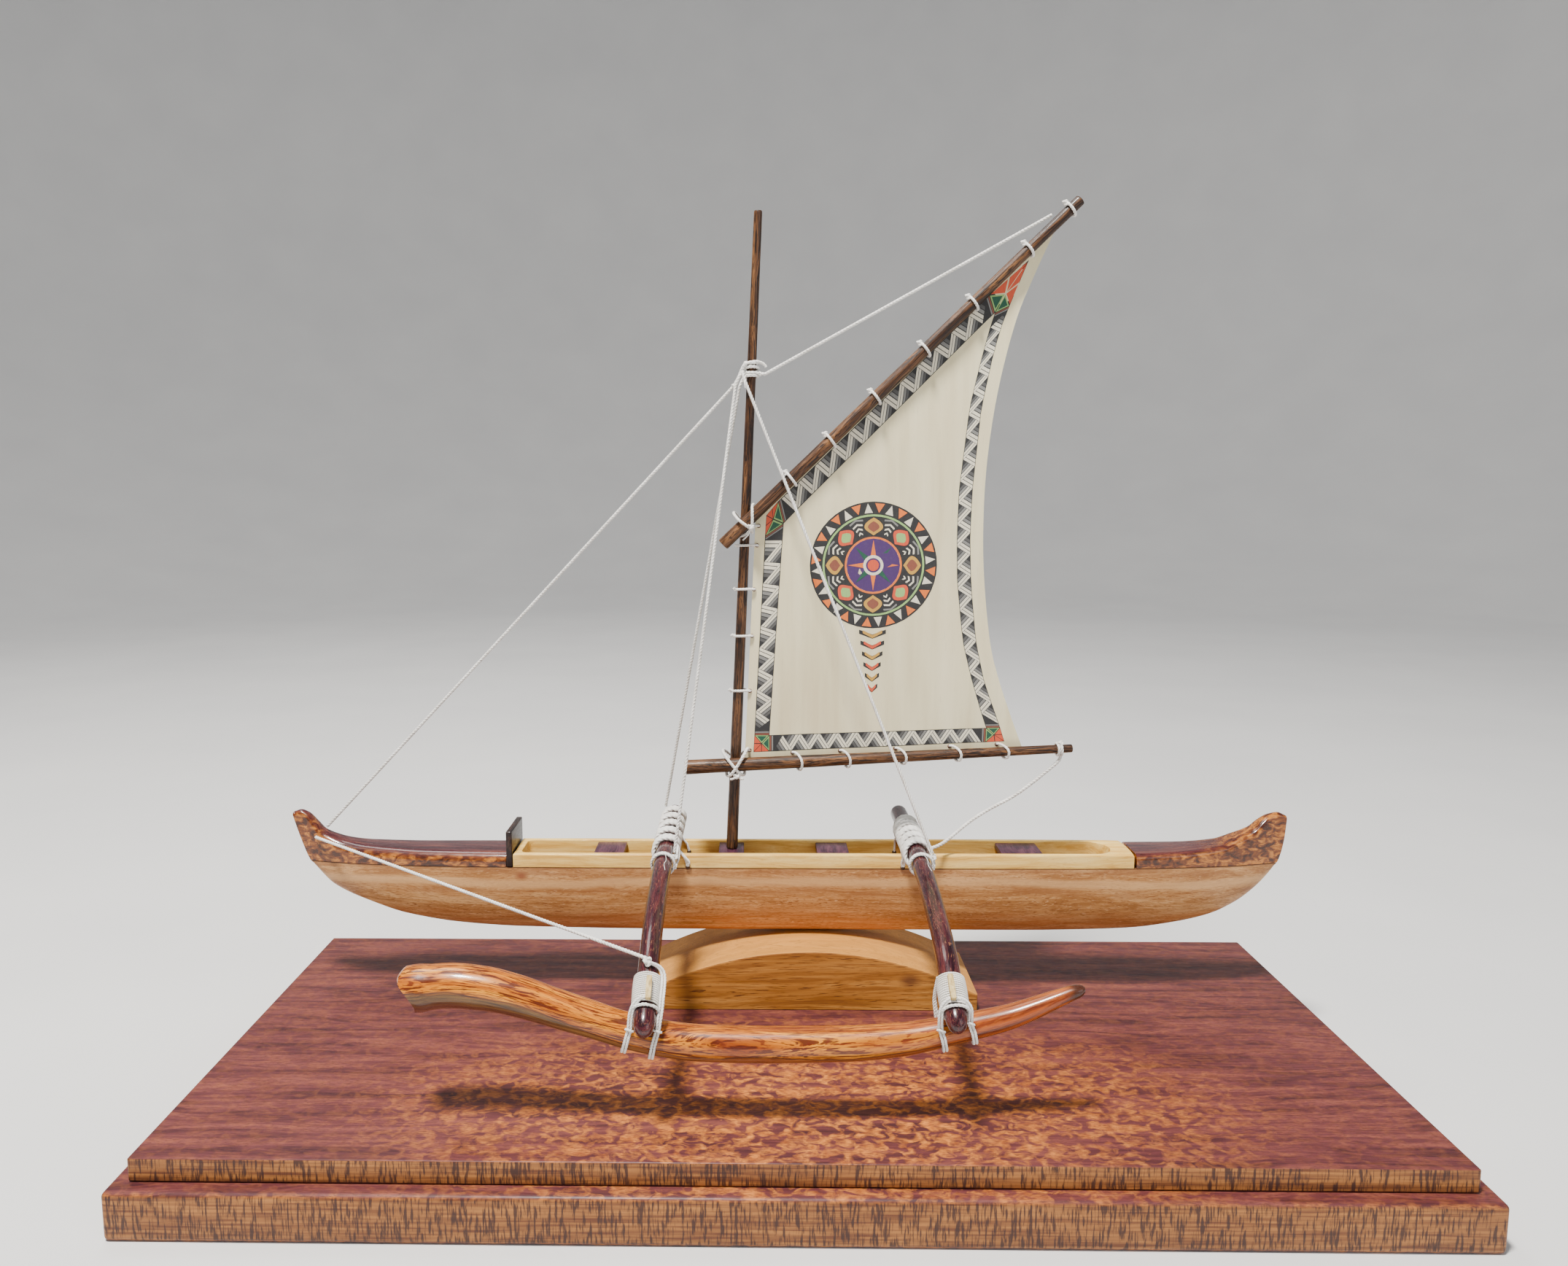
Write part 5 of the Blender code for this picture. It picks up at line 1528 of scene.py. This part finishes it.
def make_studio():
    make_stage()
    for row in LIGHTS:
        make_light(*row)
    world = bpy.data.worlds.new("studio")
    world.use_nodes = True
    world.node_tree.nodes["Background"].inputs["Color"].default_value = (0.9, 0.93, 1.0, 1.0)
    world.node_tree.nodes["Background"].inputs["Strength"].default_value = 0.3
    bpy.context.scene.world = world


def make_materials():
    return {
        "walnut": wood("walnut_varnished",
                       ((0.040, 0.008, 0.012), (0.100, 0.023, 0.026), (0.18, 0.048, 0.038)),
                       along=40.0, across=1.2, extra=plinth_colours, rough=(0.42, 0.58), coat=0.08,
                       coat_rough=0.25, contrast=0.13),
        "pine": wood("pine_oiled",
                     ((0.26, 0.090, 0.012), (0.40, 0.160, 0.026), (0.52, 0.235, 0.050)),
                     along=60.0, across=1.0, extra=stand_colours, rough=(0.5, 0.68), coat=0.03,
                     layers=(((0.090, 0.026, 0.006), (8.0, 2.0, 0.32), 0.58, 0.64, 0.9),
                             ((0.20, 0.065, 0.011), (40.0, 8.0, 1.6), 0.52, 0.64, 0.6))),
        "hull": wood("hull_varnished",
                     ((0.38, 0.165, 0.046), (0.54, 0.265, 0.088), (0.67, 0.375, 0.150)),
                     along=34.0, across=0.9, extra=hull_colours, rough=(0.36, 0.52), coat=0.12,
                     contrast=0.10,
                     layers=(((0.24, 0.085, 0.024), (2.6, 1.2, 0.3), 0.55, 0.64, 0.75),
                             ((0.78, 0.48, 0.23), (2.6, 1.2, 0.35), 0.58, 0.68, 0.55))),
        "rail": wood("rail_varnished",
                     ((0.68, 0.37, 0.070), (0.84, 0.53, 0.130), (0.93, 0.66, 0.22)),
                     along=30.0, across=0.8, rough=(0.36, 0.5), coat=0.12,
                     layers=(((0.58, 0.27, 0.045), (4.0, 0.4, 0.25), 0.60, 0.68, 0.6),)),
        "deck": wood("deck_varnished",
                     ((0.026, 0.005, 0.009), (0.070, 0.015, 0.018), (0.14, 0.038, 0.026)),
                     along=26.0, across=0.9, extra=deck_colours, rough=(0.16, 0.32), coat=0.45,
                     coat_rough=0.05,
                     layers=(((0.022, 0.005, 0.004), (2.6, 0.4, 0.4), 0.58, 0.64, 0.7),)),
        "splash": wood("splash_dark",
                       ((0.006, 0.004, 0.004), (0.018, 0.009, 0.008), (0.05, 0.024, 0.017)),
                       along=14.0, across=0.5, rough=(0.34, 0.54), coat=0.2),
        "thwart": wood("thwart_varnished", ((0.020, 0.005, 0.014), (0.050, 0.014, 0.030),
                                            (0.10, 0.034, 0.050)), along=14.0, across=0.7,
                       rough=(0.34, 0.5), coat=0.2,
                       layers=(((0.18, 0.07, 0.06), (2.5, 0.3, 0.3), 0.61, 0.68, 0.5),)),
        "spar": wood("spar_stick",
                     ((0.020, 0.007, 0.003), (0.092, 0.036, 0.012), (0.22, 0.098, 0.036)),
                     along=30.0, across=0.7, rough=(0.36, 0.6), coat=0.15, bump=0.8, contrast=0.12,
                     layers=(((0.005, 0.002, 0.0015), (16.0, 0.5, 0.5), 0.53, 0.58, 0.92),
                             ((0.007, 0.003, 0.002), (3.0, 0.35, 0.35), 0.58, 0.64, 0.9))),
        "beam": wood("beam_varnished",
                     ((0.013, 0.002, 0.005), (0.044, 0.007, 0.012), (0.090, 0.018, 0.019)),
                     along=24.0, across=0.7, rough=(0.18, 0.34), coat=0.4, coat_rough=0.06,
                     layers=(((0.30, 0.12, 0.06), (3.2, 0.28, 0.28), 0.60, 0.66, 0.6),
                             ((0.008, 0.002, 0.004), (9.0, 0.5, 0.5), 0.56, 0.64, 0.7))),
        "float": wood("float_varnished",
                      ((0.25, 0.046, 0.003), (0.52, 0.150, 0.006), (0.76, 0.290, 0.016)),
                      along=46.0, across=1.1, extra=float_colours, rough=(0.22, 0.38), coat=0.35,
                      coat_rough=0.08, contrast=0.12,
                      layers=(((0.070, 0.008, 0.002), (14.0, 0.6, 0.6), 0.53, 0.58, 0.92),
                              ((0.12, 0.016, 0.004), (5.0, 0.4, 0.4), 0.56, 0.62, 0.85))),
        "peg": wood("peg_stick", ((0.36, 0.24, 0.085), (0.56, 0.41, 0.17), (0.70, 0.54, 0.27)),
                    along=8.0, across=0.4, rough=(0.5, 0.7), coat=0.0),
        "pin": wood("pin_dark", ((0.02, 0.010, 0.006), (0.06, 0.03, 0.015), (0.12, 0.06, 0.03)),
                    along=3.0, across=0.3, rough=(0.4, 0.6), coat=0.1),
        "cord": cotton("cotton_cord", (0.93, 0.92, 0.89), (0.60, 0.57, 0.51), 3600.0, 0.6),
        "thread": cotton("fine_thread", (0.92, 0.90, 0.85), (0.62, 0.57, 0.48), 5200.0, 0.4),
        "cloth": sailcloth(), "paint": paint(),
        "eyelet": wood("eyelet_ring",
                       ((0.04, 0.012, 0.008), (0.12, 0.035, 0.022), (0.22, 0.08, 0.05)),
                       along=1.0, across=0.4, rough=(0.4, 0.6), coat=0.1)}


make_camera()
m = make_materials()
make_sheet_line(m["cord"])
make_lines(m["cord"])
make_woods(m)
for beam_side in ("forward", "aft"):
    wind_beam(beam_side, m["cord"])
    tie_beam(beam_side, m["cord"], m["pin"])
    wind_float(beam_side, m["cord"], m["thread"])
    push_stick(beam_side, m["peg"])
    sling_float(beam_side, m["cord"])
sail = make_sail(m["cloth"])
art = Painting()
make_border(art)
make_rosette(art, 41.0, 237.0, 30.0)
make_pendant(art)
artwork = art.build("sail_painting", m["paint"])
outline = LUFF + HEAD[1:] + leech_curve()[::-1][1:]
make_loops(m["cord"], m["eyelet"])
make_rig_lashings(m["cord"])
make_studio()
